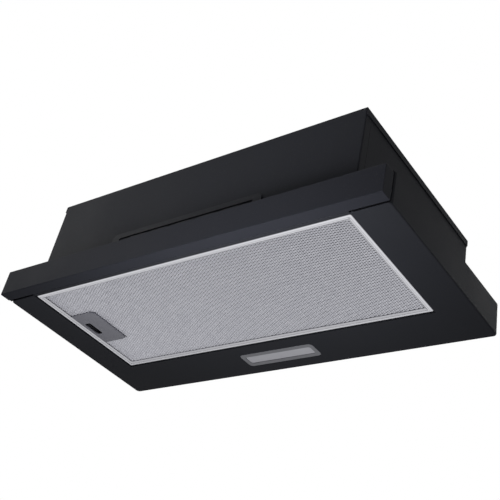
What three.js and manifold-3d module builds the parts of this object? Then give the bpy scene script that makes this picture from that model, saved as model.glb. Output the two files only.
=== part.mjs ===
// Pull out range hood for a 600 mm kitchen cabinet, modelled as an assembly.
//
// Millimetres. X runs to the right seen from the front, Y to the back, Z up. The origin is at the
// middle of the hood's footprint, on the plane of its underside.
//
// The pieces stand in nested groups that follow the moving bodies: the housing, the slide rails,
// the pull out tray, the grease filter with its latch, the keys, the blower and the outlet.

import * as THREE from "three";
import { mergeVertices } from "three/addons/utils/BufferGeometryUtils.js";
import Module from "manifold-3d";

const wasm = await Module();
wasm.setup();

// ---------------------------------------------------------------------------------------------
// Driving dimensions
// ---------------------------------------------------------------------------------------------

// Sheet, folds and gaps that most pieces share
const SHEET = 0.8; // painted steel sheet
const CLEAR = 0.3; // gap between pieces that touch
const BEND = 0.8; // inside radius of a fold

// Handle bar
const HANDLE_WIDTH = 598;
const HANDLE_HEIGHT = 38.6;
const HANDLE_DEPTH = 16.4;
const HANDLE_WALL = 1;
const HANDLE_EDGE = 1.2; // radius of its edges
const HANDLE_GAP = 2.5; // shadow gap between the handle and the wings
const HANDLE_RETURN = 6; // width of the folds round its open back
const HANDLE_BACK_INSET = 59; // from its ends to the opening in its back, covered by the tray front

// Base with its two wings
const HANDLE_OVERHANG = 1; // how far the handle reaches past the base at each end
const BASE_DEPTH = 276.5;
const BASE_HEIGHT = 43.6;
const BASE_CORNER = 5; // corner radius seen from below
const BASE_EDGE = 1.6; // radius of the bottom edges
const WING_LEAD = 2.5; // how far the wings reach ahead of the bay between them
const WING_FLANGE = 14; // folds that the cabinet rests on
const REAR_LIP_HEIGHT = 24; // wall between the tray and the lamp
const FIXING_HOLE_R = 2.4;
const FIXING_HOLE_INSET = 60;

// Upper box
const WING_WIDTH = 47.3; // from the base's edge to the side of the box
const BOX_HEIGHT = 156; // underside of the hood to the top of the cover
const BOX_FRONT_STEP = 1.7; // how far the box front stands ahead of the tray's bay
const REAR_WALL_GAP = 0.4;
const PANEL_BOTTOM = 41; // lower edge of the front panel
const PANEL_RETURN = 12; // folds at the front panel's sides and top
const PANEL_SHELF = 24; // fold at its lower edge, which carries the fixed filter
const SEAM = 0.4; // between the front panel's returns and the wrap
const WRAP_FLANGE = 10;
const WRAP_FOOT = 12;
const COVER_FLANGE = 10; // turned-down edges of the top cover

// Grease filter on the tray
const FILTER_REAR = 72; // its rear edge, in front of the base's
const FILTER_BOTTOM = 0.6;
const FILTER_HEIGHT = 9.3;
const FILTER_WALL = 0.8;
const FILTER_STRIP = 8.5; // width of the frame seen from below
const FILTER_RIDGE = 5; // where the strip starts to slope up to the mesh
const FILTER_SLOPE = 1.6; // height of that slope
const FILTER_EDGE = 2.5; // edge radius, with the hinge on its centre
const FILTER_CORNER = 3;
const FILTER_SIDE_GAP = 0.6;
const FILTER_FRONT_GAP = 0.5;
const FILTER_REAR_GAP = 1;
const MESH_THICKNESS = 1;
const HINGE_PIN_R = 0.8;
const HINGE_PIN_GAP = 0.1;
const HINGE_POCKET_GAP = 0.15; // between a hook and the frame's edge that turns round it
const HINGE_TAB_WIDTH = 8;
const HINGE_NOTCH_WIDTH = 11;
const HINGE_PIN_LENGTH = 22;
const HINGE_INSET = 40; // from the filter's front and rear edges

// Filter latch
const LATCH_CENTRE_Y = 97.5; // behind the front of the tray's bay
const LATCH_WIDTH = 43.3;
const LATCH_DEPTH = 73;
const LATCH_CORNER = 9;
const LATCH_BOTTOM = 2;
const LATCH_WALL = 1.2;
const FINGER_WIDTH = 10.7;
const FINGER_DEPTH = 28.8;
const FINGER_CORNER = 3.5;
const FINGER_INSET = 5.5; // rim between the plate's outer edge and the finger opening
const LATCH_TRAVEL = 6;
const LATCH_PLATE = 2; // thickness of the slider
const TONGUE_WIDTH = 8;
const TONGUE_INSET = 8;
const TONGUE_NOSE = 1.6;
const SPRING_R = 2.2;
const SPRING_WIRE_R = 0.35;
const SPRING_CURLS = 6;

// Pull out tray
const TRAY_TOP = 38;
const TRAY_TOP_FLANGE = 10;
const TRAY_SEAT = 14.7; // fold that the filter hangs under
const TRAY_REAR_HEIGHT = 20;
const TRAY_FRONT_FLANGE = 14;

// Three-member slide rails
const RAIL_REAR = 8; // in front of the filter's rear edge
const RAIL_HEIGHT = 27;
const RAIL_DEPTH = 9.6;
const RAIL_SHEET = 1;
const RAIL_CURL = 3.5; // height of the curled lips, with the sheet
const RAIL_BOTTOM = 12.5;
const RAIL_FRONT = 4; // behind the front of the tray's bay

// Control fascia, keys and board
const FASCIA_WIDTH = 244;
const FASCIA_BOTTOM = 45;
const FASCIA_TOP = 68;
const FASCIA_PROUD = 1.5;
const FASCIA_CORNER = 7;
const FASCIA_LAP = 2.5; // how far its rim laps over the window
const FASCIA_WALL = 1.5;
const RECESS_WIDTH = 218;
const RECESS_BOTTOM = 48.5;
const RECESS_TOP = 60.5;
const SKIRT_DEPTH = 10;
const KEY_COUNT = 5;
const KEY_WIDTH = 26;
const KEY_HEIGHT = 8;
const KEY_PITCH = 38;
const KEY_PROUD = 1.3; // ahead of the front panel
const KEY_LENGTH = 8;
const KEY_TRAVEL = 2;
const KEY_LIP = 1.2; // rim behind the fascia that keeps a key in
const BOARD_THICKNESS = 1.6;
const SWITCH_R = 3;

// Lamp
const LAMP_WIDTH = 120;
const LAMP_DEPTH = 31;
const LAMP_CORNER = 6;
const LAMP_REAR = 35.7; // its centre, in front of the base's rear edge
const LAMP_FACE = 0.1;
const LAMP_BODY = 10; // height of the bezel's walls
const LAMP_SNAP = 3; // rim that holds the bezel above the sheet
const LENS_WIDTH = 107;
const LENS_DEPTH = 16.4;
const LENS_CORNER = 3;
const LENS_FACE = 0.6;
const LENS_THICKNESS = 2;
const LENS_RIM = 2;
const LED_COUNT = 6;
const LED_SIZE = 3.5;
const DRIVER_WIDTH = 70;
const DRIVER_DEPTH = 28;
const DRIVER_HEIGHT = 20;
const DRIVER_X = 120;

// Fixed inner filter
const INNER_FILTER_REAR = 141.7; // in front of the base's rear edge
const INNER_FILTER_SIDE_GAP = 5.9;
const INNER_FILTER_HEIGHT = 8;
const INNER_FILTER_STRIP = 12;
const INNER_FILTER_FRONT = 18; // behind the front panel's face
const INNER_RAIL_HEIGHT = 16;
const INNER_RAIL_SEAT = 8;

// Blower
const BLOWER_REAR = 62; // the shaft, in front of the base's rear edge
const BLOWER_Z = 105.5;
const WHEEL_R = 44;
const WHEEL_INNER_R = 36;
const WHEEL_WIDTH = 116;
const BLADE_COUNT = 30;
const BLADE_THICKNESS = 1.1;
const BLADE_SWEEP_DEG = 11;
const WHEEL_RING = 1.6;
const HUB_R = 9;
const HUB_LENGTH = 12;
const SHAFT_R = 4;
const SHAFT_LENGTH = 40;
const SCROLL_START_R = 49; // at the tongue
const SCROLL_END_R = 67; // where the outlet begins
const SCROLL_START_DEG = 60;
const SCROLL_WALL = 2;
const SCROLL_SIDE_GAP = 5;
const SCROLL_FLANGE = 9;
const INLET_R = 38;
const INLET_LIP = 3;
const MOTOR_R = 29;
const MOTOR_LENGTH = 56;
const MOTOR_FINS = 4;
const BRACKET_ARM = 8;
const BRACKET_THICKNESS = 2;
const BRACKET_RIM_R = 46;
const BRACKET_HUB_R = 16;

// Outlet collar and non-return flaps
const OUTLET_R = 60;
const OUTLET_WALL = 1.8;
const OUTLET_FLANGE_R = 68;
const OUTLET_FLANGE = 2;
const OUTLET_HEIGHT = 24; // above the top cover
const OUTLET_LEDGE = 3.6;
const FLAP_PIVOT = 12; // height of the bar above the top cover
const FLAP_THICKNESS = 1.2;
const FLAP_BAR_R = 2;
const FLAP_RIM_GAP = 1.2;
const KNUCKLE_R = 3.5;
const KNUCKLE_LENGTH = 12;
const KNUCKLE_PITCH = 26;

// Electrical box
const TERMINAL_WIDTH = 66;
const TERMINAL_DEPTH = 34;
const TERMINAL_HEIGHT = 46;
const TERMINAL_X = -185;
const TERMINAL_Z = 95;
const TERMINAL_WALL = 2;
const CAPACITOR_R = 14;
const CAPACITOR_LENGTH = 52;
const CAPACITOR_X = -112;
const GLAND_R = 9;
const GLAND_RIM = 3;
const GLAND_BORE_R = 4;
const GLAND_X = -185;
const GLAND_INSET = 28; // in front of the box's rear wall

// ---------------------------------------------------------------------------------------------
// Datums worked out from those dimensions
// ---------------------------------------------------------------------------------------------

const frontY = -(HANDLE_DEPTH + HANDLE_GAP + BASE_DEPTH) / 2;
const handleRearY = frontY + HANDLE_DEPTH;
const wingFrontY = handleRearY + HANDLE_GAP;
const bayFrontY = wingFrontY + WING_LEAD;
const baseRearY = wingFrontY + BASE_DEPTH;
const boxFrontY = bayFrontY - BOX_FRONT_STEP;
const boxRearY = baseRearY - SHEET - REAR_WALL_GAP;
const baseX = HANDLE_WIDTH / 2 - HANDLE_OVERHANG;
const wallX = baseX - WING_WIDTH;
const wallInX = wallX - SHEET;
const boxTopZ = BOX_HEIGHT - SHEET - CLEAR; // top of what stands under the cover

const filterX = wallInX - FILTER_SIDE_GAP;
const filterFrontY = bayFrontY + FILTER_FRONT_GAP;
const filterRearY = baseRearY - FILTER_REAR;
const filterTopZ = FILTER_BOTTOM + FILTER_HEIGHT;
const openingRearY = filterRearY + FILTER_REAR_GAP;
const meshZ = FILTER_BOTTOM + FILTER_SLOPE + FILTER_WALL + CLEAR;
const filterLidZ = filterTopZ - FILTER_WALL - CLEAR; // highest that a filter layer may reach

const hingeX = filterX - FILTER_EDGE;
const hingeZ = FILTER_BOTTOM + FILTER_EDGE;
const hingePlaces = [filterFrontY + HINGE_INSET, filterRearY - HINGE_INSET];
const pinBoreR = HINGE_PIN_R + HINGE_PIN_GAP;
const hookR = pinBoreR + SHEET;
const pocketR = hookR + HINGE_POCKET_GAP;
const layerX = hingeX - pocketR - CLEAR; // the filter's layers end clear of the hinge

const latchX = -filterX + FILTER_STRIP + CLEAR; // outer edge of the latch plate
const latchInX = latchX + LATCH_WIDTH;
const latchY = bayFrontY + LATCH_CENTRE_Y;
const gripX = latchX + FINGER_INSET + FINGER_WIDTH; // edge of the finger opening

const railX = wallInX - CLEAR; // outer face of the outer rail
const trayWebX = railX - RAIL_DEPTH - CLEAR; // outer face of the tray's side
const traySeatZ = filterTopZ + CLEAR;
const trayFrontY = handleRearY + CLEAR;
const lampY = baseRearY - LAMP_REAR;

// ---------------------------------------------------------------------------------------------
// Shapes and solids
// ---------------------------------------------------------------------------------------------

const WELD = 1e-4;
const CORNER_STEPS = 3;
const FOLD_STEPS = 3;
const ROUND_SIDES = 32;
const SMALL_SIDES = 12;

function polygon(points) {
  return new THREE.Shape(points.map(([u, v]) => new THREE.Vector2(u, v)));
}

function rect(u0, u1, v0, v1) {
  return polygon([[u0, v0], [u1, v0], [u1, v1], [u0, v1]]);
}

// The corners with the larger u have one radius, and those with the smaller u may have another.
function roundedRect(u0, u1, v0, v1, radius, lowRadius = radius) {
  const corners = [
    [u1, v1, -1, -1, radius],
    [u0, v1, 1, -1, lowRadius],
    [u0, v0, 1, 1, lowRadius],
    [u1, v0, -1, 1, radius],
  ];
  const points = [];
  corners.forEach(([u, v, inU, inV, r], quarter) => {
    for (let i = 0; i <= CORNER_STEPS; i++) {
      const angle = (Math.PI / 2) * (quarter + i / CORNER_STEPS);
      points.push([u + r * (inU + Math.cos(angle)), v + r * (inV + Math.sin(angle))]);
    }
  });
  return polygon(points);
}

function circle(u, v, radius, sides = ROUND_SIDES) {
  const points = [];
  for (let i = 0; i < sides; i++) {
    const angle = (2 * Math.PI * i) / sides;
    points.push([u + radius * Math.cos(angle), v + radius * Math.sin(angle)]);
  }
  return polygon(points);
}

function ring(outer, inner) {
  outer.holes.push(inner);
  return outer;
}

// The section of a folded sheet. The path is one face of the sheet, and the sheet's thickness
// lies to the left of the path. Every corner of the path becomes a fold with round faces.
function foldedSheet(path, thickness = SHEET, bend = BEND) {
  const points = path.map(([u, v]) => new THREE.Vector2(u, v));
  const leftOf = (a, b) => new THREE.Vector2(a.y - b.y, b.x - a.x).normalize();
  const near = [];
  const far = [];
  const add = (point, normal) => {
    if (near.length && near.at(-1).distanceTo(point) < WELD) return;
    near.push(point);
    far.unshift(point.clone().addScaledVector(normal, thickness));
  };
  add(points[0], leftOf(points[0], points[1]));
  for (let i = 1; i < points.length - 1; i++) {
    const before = leftOf(points[i - 1], points[i]);
    const after = leftOf(points[i], points[i + 1]);
    const turn = before.cross(after);
    const reach = turn > 0 ? bend + thickness : -bend;
    const diagonal = before.clone().add(after);
    const centre = points[i].clone().addScaledVector(diagonal, reach / (1 + before.dot(after)));
    const start = before.angle();
    const sweep = Math.atan2(turn, before.dot(after));
    for (let step = 0; step <= FOLD_STEPS; step++) {
      const angle = start + (sweep * step) / FOLD_STEPS;
      const normal = new THREE.Vector2(Math.cos(angle), Math.sin(angle));
      add(centre.clone().addScaledVector(normal, -reach), normal);
    }
  }
  add(points.at(-1), leftOf(points.at(-2), points.at(-1)));
  return new THREE.Shape([...near, ...far]);
}

// A closed three.js geometry as a solid that can be cut and joined.
function solid(geometry) {
  const bare = geometry.clone();
  bare.deleteAttribute("normal");
  bare.deleteAttribute("uv");
  const merged = mergeVertices(bare, WELD);
  const mesh = new wasm.Mesh({
    numProp: 3,
    vertProperties: new Float32Array(merged.attributes.position.array),
    triVerts: new Uint32Array(merged.index.array),
  });
  return new wasm.Manifold(mesh);
}

// The shape's two axes and the way it is pushed, for an extrusion along each axis.
const FRAMES = {
  x: [new THREE.Vector3(0, 1, 0), new THREE.Vector3(0, 0, 1), new THREE.Vector3(1, 0, 0)],
  y: [new THREE.Vector3(1, 0, 0), new THREE.Vector3(0, 0, 1), new THREE.Vector3(0, -1, 0)],
  z: [new THREE.Vector3(1, 0, 0), new THREE.Vector3(0, 1, 0), new THREE.Vector3(0, 0, 1)],
};

// Extrudes a shape from one station on an axis to another, with rounded ends if an edge is given.
function along(axis, shape, from, to, edge = 0) {
  const geometry = new THREE.ExtrudeGeometry(shape, {
    depth: to - from - 2 * edge,
    bevelEnabled: edge > 0,
    bevelThickness: edge,
    bevelSize: edge,
    bevelOffset: -edge,
    bevelSegments: 2,
  });
  const start = axis === "y" ? -to : from;
  geometry.translate(0, 0, start + edge);
  geometry.applyMatrix4(new THREE.Matrix4().makeBasis(...FRAMES[axis]));
  return solid(geometry);
}

function block(x0, x1, y0, y1, z0, z1) {
  return along("z", rect(Math.min(x0, x1), Math.max(x0, x1), y0, y1), z0, z1);
}

// Turns a closed profile of [radius, height] points, outer side upwards, about Z.
function turned(profile, sides = ROUND_SIDES) {
  const points = [...profile, profile[0]].map(([radius, height]) => new THREE.Vector2(radius, height));
  return solid(new THREE.LatheGeometry(points, sides).rotateX(Math.PI / 2));
}

// The same about X, with the profile's heights along X.
function turnedAboutX(profile, sides = ROUND_SIDES) {
  const points = [...profile, profile[0]].map(([radius, height]) => new THREE.Vector2(radius, height));
  return solid(new THREE.LatheGeometry(points, sides).rotateZ(-Math.PI / 2));
}

// A block whose lower and upper rectangles differ, both centred on x = 0.
function frustum(halfLow, yLow, zLow, halfHigh, yHigh, zHigh) {
  const corners = [];
  for (const [half, ys, z] of [[halfLow, yLow, zLow], [halfHigh, yHigh, zHigh]]) {
    corners.push(-half, ys[0], z, half, ys[0], z, half, ys[1], z, -half, ys[1], z);
  }
  const geometry = new THREE.BufferGeometry();
  geometry.setAttribute("position", new THREE.Float32BufferAttribute(corners, 3));
  const faces = [0, 2, 1, 0, 3, 2, 4, 5, 6, 4, 6, 7];
  for (let i = 0; i < 4; i++) {
    const next = (i + 1) % 4;
    faces.push(i, next, next + 4, i, next + 4, i + 4);
  }
  geometry.setIndex(faces);
  return solid(geometry);
}

function join(first, ...others) {
  return others.reduce((whole, piece) => whole.add(piece), first);
}

function cut(first, ...tools) {
  return tools.reduce((whole, tool) => whole.subtract(tool), first);
}

// ---------------------------------------------------------------------------------------------
// Finishes and the scene graph
// ---------------------------------------------------------------------------------------------

const FINISHES = {
  paint: [0x202124, 0.42, 0.1],
  innerPaint: [0x17181a, 0.5, 0.1],
  zinc: [0x9a9da0, 0.38, 0.9],
  aluminium: [0xb9bac0, 0.35, 0.9],
  greyPlastic: [0x63666b, 0.45, 0],
  blackPlastic: [0x161719, 0.4, 0],
  whitePlastic: [0xd8d8d4, 0.5, 0],
  lens: [0xa9a9ae, 0.35, 0],
  board: [0x2c5a3a, 0.5, 0],
  motorSteel: [0x777a7d, 0.4, 0.8],
};

const hood = new THREE.Group();

function group(parent, x = 0, y = 0, z = 0) {
  const made = new THREE.Group();
  made.position.set(x, y, z);
  parent.add(made);
  return made;
}

function addPart(parent, name, made, finish) {
  const built = made.getMesh();
  const geometry = new THREE.BufferGeometry();
  geometry.setAttribute("position", new THREE.BufferAttribute(built.vertProperties.slice(), 3));
  geometry.setIndex(new THREE.BufferAttribute(built.triVerts.slice(), 1));
  geometry.computeVertexNormals();
  const [color, roughness, metalness] = FINISHES[finish];
  const material = new THREE.MeshStandardMaterial({ color, roughness, metalness });
  const mesh = new THREE.Mesh(geometry, material);
  mesh.name = name;
  parent.add(mesh);
  return mesh;
}

// A left piece and its mirror image on the right.
function addPair(parent, name, makeRight, finish) {
  addPart(parent, name + "_right", makeRight(), finish);
  addPart(parent, name + "_left", makeRight(), finish).scale.x = -1;
}

// ---------------------------------------------------------------------------------------------
// Housing: base, wrap, front panel, top cover
// ---------------------------------------------------------------------------------------------

function lampOutline(margin) {
  const halfX = LAMP_WIDTH / 2 + margin;
  const halfY = LAMP_DEPTH / 2 + margin;
  return roundedRect(-halfX, halfX, lampY - halfY, lampY + halfY, LAMP_CORNER + margin);
}

function fixingHoles() {
  const holes = [];
  const x = baseX - WING_FLANGE / 2;
  for (const side of [-1, 1]) {
    for (const y of [bayFrontY + FIXING_HOLE_INSET, baseRearY - FIXING_HOLE_INSET]) {
      const hole = circle(side * x, y, FIXING_HOLE_R, SMALL_SIDES);
      holes.push(along("z", hole, BASE_HEIGHT - 2 * SHEET, BASE_HEIGHT + SHEET));
    }
  }
  return holes;
}

// A pan whose wings are open at the top: one shell, with the tray's opening cut from its floor.
function basePan() {
  const outline = (margin) => roundedRect(
    -baseX + margin, baseX - margin, wingFrontY + margin, baseRearY - margin, BASE_CORNER - margin,
  );
  const above = BASE_HEIGHT + BASE_EDGE;
  const seatHole = rect(
    -baseX + WING_FLANGE, baseX - WING_FLANGE, wingFrontY + WING_FLANGE, baseRearY - WING_FLANGE,
  );
  const pan = join(
    cut(
      along("z", outline(0), 0, above, BASE_EDGE),
      along("z", outline(SHEET), SHEET, above + BASE_EDGE, BASE_EDGE - SHEET),
    ),
    along("z", ring(outline(SHEET / 2), seatHole), BASE_HEIGHT - SHEET, BASE_HEIGHT),
  );
  const boxX = wallX + CLEAR;
  const lip = block(-wallInX, wallInX, openingRearY, openingRearY + SHEET, 0, REAR_LIP_HEIGHT);
  const opened = cut(
    pan,
    block(-baseX - 1, baseX + 1, frontY, baseRearY + 1, BASE_HEIGHT, above + 1),
    block(-wallInX, wallInX, frontY, openingRearY, -1, above),
    block(-boxX, boxX, frontY, bayFrontY + SHEET + CLEAR, SHEET, above),
    block(-boxX, boxX, frontY, baseRearY - SHEET, BASE_HEIGHT - SHEET - CLEAR, above),
    along("z", lampOutline(CLEAR), -1, SHEET + 1),
    ...fixingHoles(),
  );
  return join(opened, lip);
}

// One sheet folded round the left side, the back and the right side, standing in the base.
function bodyWrap() {
  const frontEdgeY = bayFrontY + SHEET + CLEAR;
  const footZ = SHEET + CLEAR;
  const panelRearY = boxFrontY + PANEL_RETURN + SEAM;
  const plan = foldedSheet([
    [wallX, frontEdgeY],
    [wallX, boxRearY],
    [-wallX, boxRearY],
    [-wallX, frontEdgeY],
  ]);
  const innerX = wallX - WRAP_FLANGE;
  const half = SHEET / 2;
  const foot = (side) =>
    block(side * (wallX - half), side * (wallX + WRAP_FOOT), frontEdgeY, openingRearY, footZ, footZ + SHEET);
  return cut(
    join(
      along("z", plan, footZ, boxTopZ),
      block(-wallX + half, wallX - half, panelRearY, boxRearY - half, boxTopZ - SHEET, boxTopZ),
      foot(-1),
      foot(1),
    ),
    block(-wallX - 1, wallX + 1, frontY, panelRearY, PANEL_BOTTOM - CLEAR, BOX_HEIGHT),
    block(-innerX, innerX, frontY, boxRearY - WRAP_FLANGE, boxTopZ - 2 * SHEET, BOX_HEIGHT),
  );
}

// The window that the fascia's skirt passes through, in X and Z.
function windowOutline(margin) {
  const halfX = FASCIA_WIDTH / 2 - FASCIA_LAP - margin;
  const edge = FASCIA_LAP + margin;
  const radius = FASCIA_CORNER - edge;
  return roundedRect(-halfX, halfX, FASCIA_BOTTOM + edge, FASCIA_TOP - edge, radius);
}

// Folded back at both sides and at the top, with a deeper shelf along the bottom.
function frontPanel() {
  const plan = foldedSheet([
    [-wallX, boxFrontY + PANEL_RETURN],
    [-wallX, boxFrontY],
    [wallX, boxFrontY],
    [wallX, boxFrontY + PANEL_RETURN],
  ]);
  const section = foldedSheet([
    [boxFrontY + PANEL_SHELF, PANEL_BOTTOM + SHEET],
    [boxFrontY + SHEET, PANEL_BOTTOM + SHEET],
    [boxFrontY + SHEET, boxTopZ - SHEET],
    [boxFrontY + PANEL_RETURN, boxTopZ - SHEET],
  ]);
  const sectionX = wallX - SHEET - BEND;
  return cut(
    join(along("z", plan, PANEL_BOTTOM, boxTopZ), along("x", section, -sectionX, sectionX)),
    along("y", windowOutline(0), frontY, boxFrontY + 2 * SHEET),
  );
}

// A lid with its sides and back turned down outside the wrap, holed for the outlet and the cable.
function topCover() {
  const sideX = wallX + CLEAR + SHEET;
  const backY = boxRearY + CLEAR + SHEET;
  const lowZ = BOX_HEIGHT - COVER_FLANGE;
  const across = foldedSheet([[sideX, lowZ], [sideX, BOX_HEIGHT], [-sideX, BOX_HEIGHT], [-sideX, lowZ]]);
  const back = foldedSheet([[backY, lowZ], [backY, BOX_HEIGHT], [backY - WRAP_FLANGE, BOX_HEIGHT]]);
  const backX = sideX - SHEET - BEND;
  return cut(
    join(along("y", across, boxFrontY, backY - SHEET - BEND), along("x", back, -backX, backX)),
    along("z", circle(0, outletY, OUTLET_R - OUTLET_WALL, ROUND_SIDES), lowZ, BOX_HEIGHT + 1),
    along("z", circle(GLAND_X, glandY, GLAND_R, SMALL_SIDES * 2), lowZ, BOX_HEIGHT + 1),
  );
}

// ---------------------------------------------------------------------------------------------
// Fascia, keys and control board
// ---------------------------------------------------------------------------------------------

const keyZ = (RECESS_BOTTOM + RECESS_TOP) / 2;

function keyOutline(x, margin) {
  const halfX = KEY_WIDTH / 2 + margin;
  const halfZ = KEY_HEIGHT / 2 + margin;
  return roundedRect(x - halfX, x + halfX, keyZ - halfZ, keyZ + halfZ, 1 + margin);
}

function keyPlaces() {
  return Array.from({ length: KEY_COUNT }, (_, i) => (i - (KEY_COUNT - 1) / 2) * KEY_PITCH);
}

// A bezel that laps over the window, a recessed face with the key holes, and a skirt behind it.
function controlFascia() {
  const halfX = FASCIA_WIDTH / 2;
  const rim = roundedRect(-halfX, halfX, FASCIA_BOTTOM, FASCIA_TOP, FASCIA_CORNER);
  const recess = roundedRect(-RECESS_WIDTH / 2, RECESS_WIDTH / 2, RECESS_BOTTOM, RECESS_TOP, 2);
  const faceY = boxFrontY;
  const skirtEndY = boxFrontY + SKIRT_DEPTH;
  return cut(
    join(
      along("y", rim, boxFrontY - FASCIA_PROUD, boxFrontY - CLEAR, 0.4),
      along("y", windowOutline(CLEAR), boxFrontY - FASCIA_PROUD / 2, skirtEndY),
    ),
    along("y", recess, frontY, faceY),
    along("y", windowOutline(CLEAR + FASCIA_WALL), faceY + FASCIA_WALL, skirtEndY + 1),
    ...keyPlaces().map((x) => along("y", keyOutline(x, CLEAR), frontY, skirtEndY)),
  );
}

// A cap that comes through the fascia, with a rim that keeps it in.
function controlKey() {
  const rimY = boxFrontY + FASCIA_WALL + CLEAR;
  return join(
    along("y", keyOutline(0, 0), boxFrontY - KEY_PROUD, boxFrontY - KEY_PROUD + KEY_LENGTH, 0.5),
    along("y", keyOutline(0, KEY_LIP), rimY, rimY + KEY_LIP),
  );
}

// The board closes the skirt; a switch stands behind each key.
function controlBoard() {
  const backY = boxFrontY + SKIRT_DEPTH + CLEAR;
  const switchY = boxFrontY - KEY_PROUD + KEY_LENGTH + KEY_TRAVEL + CLEAR;
  return join(
    along("y", windowOutline(CLEAR), backY, backY + BOARD_THICKNESS),
    ...keyPlaces().map((x) => along("y", circle(x, keyZ, SWITCH_R, SMALL_SIDES), switchY, backY + SHEET)),
  );
}

// ---------------------------------------------------------------------------------------------
// Lamp
// ---------------------------------------------------------------------------------------------

function lensOutline(margin) {
  const halfX = LENS_WIDTH / 2 + margin;
  const halfY = LENS_DEPTH / 2 + margin;
  return roundedRect(-halfX, halfX, lampY - halfY, lampY + halfY, LENS_CORNER + margin);
}

// The bezel fills the hole in the base, and its snap rim stands on the sheet.
function lampBezel() {
  const rimZ = SHEET + CLEAR;
  const ledgeZ = LENS_FACE + LENS_THICKNESS;
  return cut(
    join(
      along("z", lampOutline(0), LAMP_FACE, LAMP_BODY, 0.5),
      along("z", lampOutline(LAMP_SNAP), rimZ, rimZ + FILTER_WALL),
    ),
    along("z", lensOutline(CLEAR), -1, LAMP_BODY + 1),
    along("z", lensOutline(LENS_RIM + CLEAR), ledgeZ, LAMP_BODY + 1),
  );
}

function lampLens() {
  const rimZ = LENS_FACE + LENS_THICKNESS + CLEAR;
  return join(
    along("z", lensOutline(0), LENS_FACE, rimZ + 0.5, 0.4),
    along("z", lensOutline(LENS_RIM), rimZ, rimZ + 1),
  );
}

function lampBoard() {
  const boardZ = LAMP_BODY - BOARD_THICKNESS - CLEAR;
  const pitch = LENS_WIDTH / LED_COUNT;
  const leds = Array.from({ length: LED_COUNT }, (_, i) => {
    const x = (i - (LED_COUNT - 1) / 2) * pitch;
    const half = LED_SIZE / 2;
    return block(x - half, x + half, lampY - half, lampY + half, boardZ - 1, boardZ + SHEET);
  });
  return join(along("z", lensOutline(LENS_RIM), boardZ, boardZ + BOARD_THICKNESS), ...leds);
}

function lampDriver() {
  const floorZ = SHEET + CLEAR;
  const outline = (margin) => roundedRect(
    DRIVER_X - DRIVER_WIDTH / 2 - margin, DRIVER_X + DRIVER_WIDTH / 2 + margin,
    lampY - DRIVER_DEPTH / 2 - margin, lampY + DRIVER_DEPTH / 2 + margin, 2,
  );
  const lidZ = floorZ + DRIVER_HEIGHT - 4;
  return join(
    along("z", outline(-1), floorZ, floorZ + DRIVER_HEIGHT, 1),
    along("z", outline(0), floorZ, lidZ, 0.5),
  );
}

// ---------------------------------------------------------------------------------------------
// Fixed inner filter, above the tray
// ---------------------------------------------------------------------------------------------

const innerFilterZ = PANEL_BOTTOM + SHEET + CLEAR;
const innerFilterFrontY = boxFrontY + INNER_FILTER_FRONT;
const innerFilterRearY = baseRearY - INNER_FILTER_REAR;

function innerFilterOutline(margin) {
  const halfX = wallInX - INNER_FILTER_SIDE_GAP - margin;
  return roundedRect(-halfX, halfX, innerFilterFrontY + margin, innerFilterRearY - margin, 2);
}

function innerFilterFrame() {
  const top = innerFilterZ + INNER_FILTER_HEIGHT;
  return cut(
    along("z", innerFilterOutline(0), innerFilterZ, top, 1),
    along("z", innerFilterOutline(INNER_FILTER_STRIP), innerFilterZ - 1, top + 1),
    along("z", innerFilterOutline(FILTER_WALL), innerFilterZ + FILTER_WALL, top - FILTER_WALL),
  );
}

function innerFilterMesh() {
  const inset = FILTER_WALL + CLEAR;
  const top = innerFilterZ + INNER_FILTER_HEIGHT;
  return along("z", innerFilterOutline(inset), innerFilterZ + inset, top - inset);
}

// The rail that carries the inner filter's rear edge across the box.
function innerFilterRail() {
  const seatZ = innerFilterZ - CLEAR;
  const section = foldedSheet([
    [innerFilterRearY - INNER_RAIL_SEAT, seatZ],
    [innerFilterRearY + CLEAR, seatZ],
    [innerFilterRearY + CLEAR, seatZ + INNER_RAIL_HEIGHT],
  ].reverse());
  return along("x", section, -wallInX + CLEAR, wallInX - CLEAR);
}

// ---------------------------------------------------------------------------------------------
// Slide rails: three nested sheet sections on each side
// ---------------------------------------------------------------------------------------------

const railNest = RAIL_SHEET + CLEAR; // from one member's face to the next
const railFrontY = bayFrontY + RAIL_FRONT;
const railRearY = filterRearY - RAIL_REAR;
const railInX = trayWebX + 3 * CLEAR; // open side of the outer rail

// A channel with curled lips, open towards the tray.
function railChannel(nest) {
  const [x0, x1] = [railInX + nest, railX - nest];
  const [z0, z1] = [RAIL_BOTTOM + nest, RAIL_BOTTOM + RAIL_HEIGHT - nest];
  const section = foldedSheet([
    [x0, z0 + RAIL_CURL],
    [x0, z0],
    [x1, z0],
    [x1, z1],
    [x0, z1],
    [x0, z1 - RAIL_CURL],
  ], RAIL_SHEET);
  return along("y", section, railFrontY, railRearY);
}

const outerRail = () => railChannel(0);
const middleRail = () => railChannel(railNest);

// A hat section: its web stands on the tray and its feet run behind the middle rail's lips.
function innerRail() {
  const footX = railInX + 2 * railNest;
  const webX = trayWebX + CLEAR;
  const legZ = RAIL_BOTTOM + railNest + RAIL_CURL + CLEAR;
  const footZ = RAIL_BOTTOM + 2 * railNest;
  const mirrored = (z) => 2 * RAIL_BOTTOM + RAIL_HEIGHT - z;
  const section = foldedSheet([
    [footX, mirrored(footZ)],
    [footX, mirrored(legZ)],
    [webX, mirrored(legZ)],
    [webX, legZ],
    [footX, legZ],
    [footX, footZ],
  ], RAIL_SHEET);
  return along("y", section, railFrontY, railRearY);
}

// ---------------------------------------------------------------------------------------------
// Pull out tray and handle
// ---------------------------------------------------------------------------------------------

const trayRearY = filterRearY - CLEAR;

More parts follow.
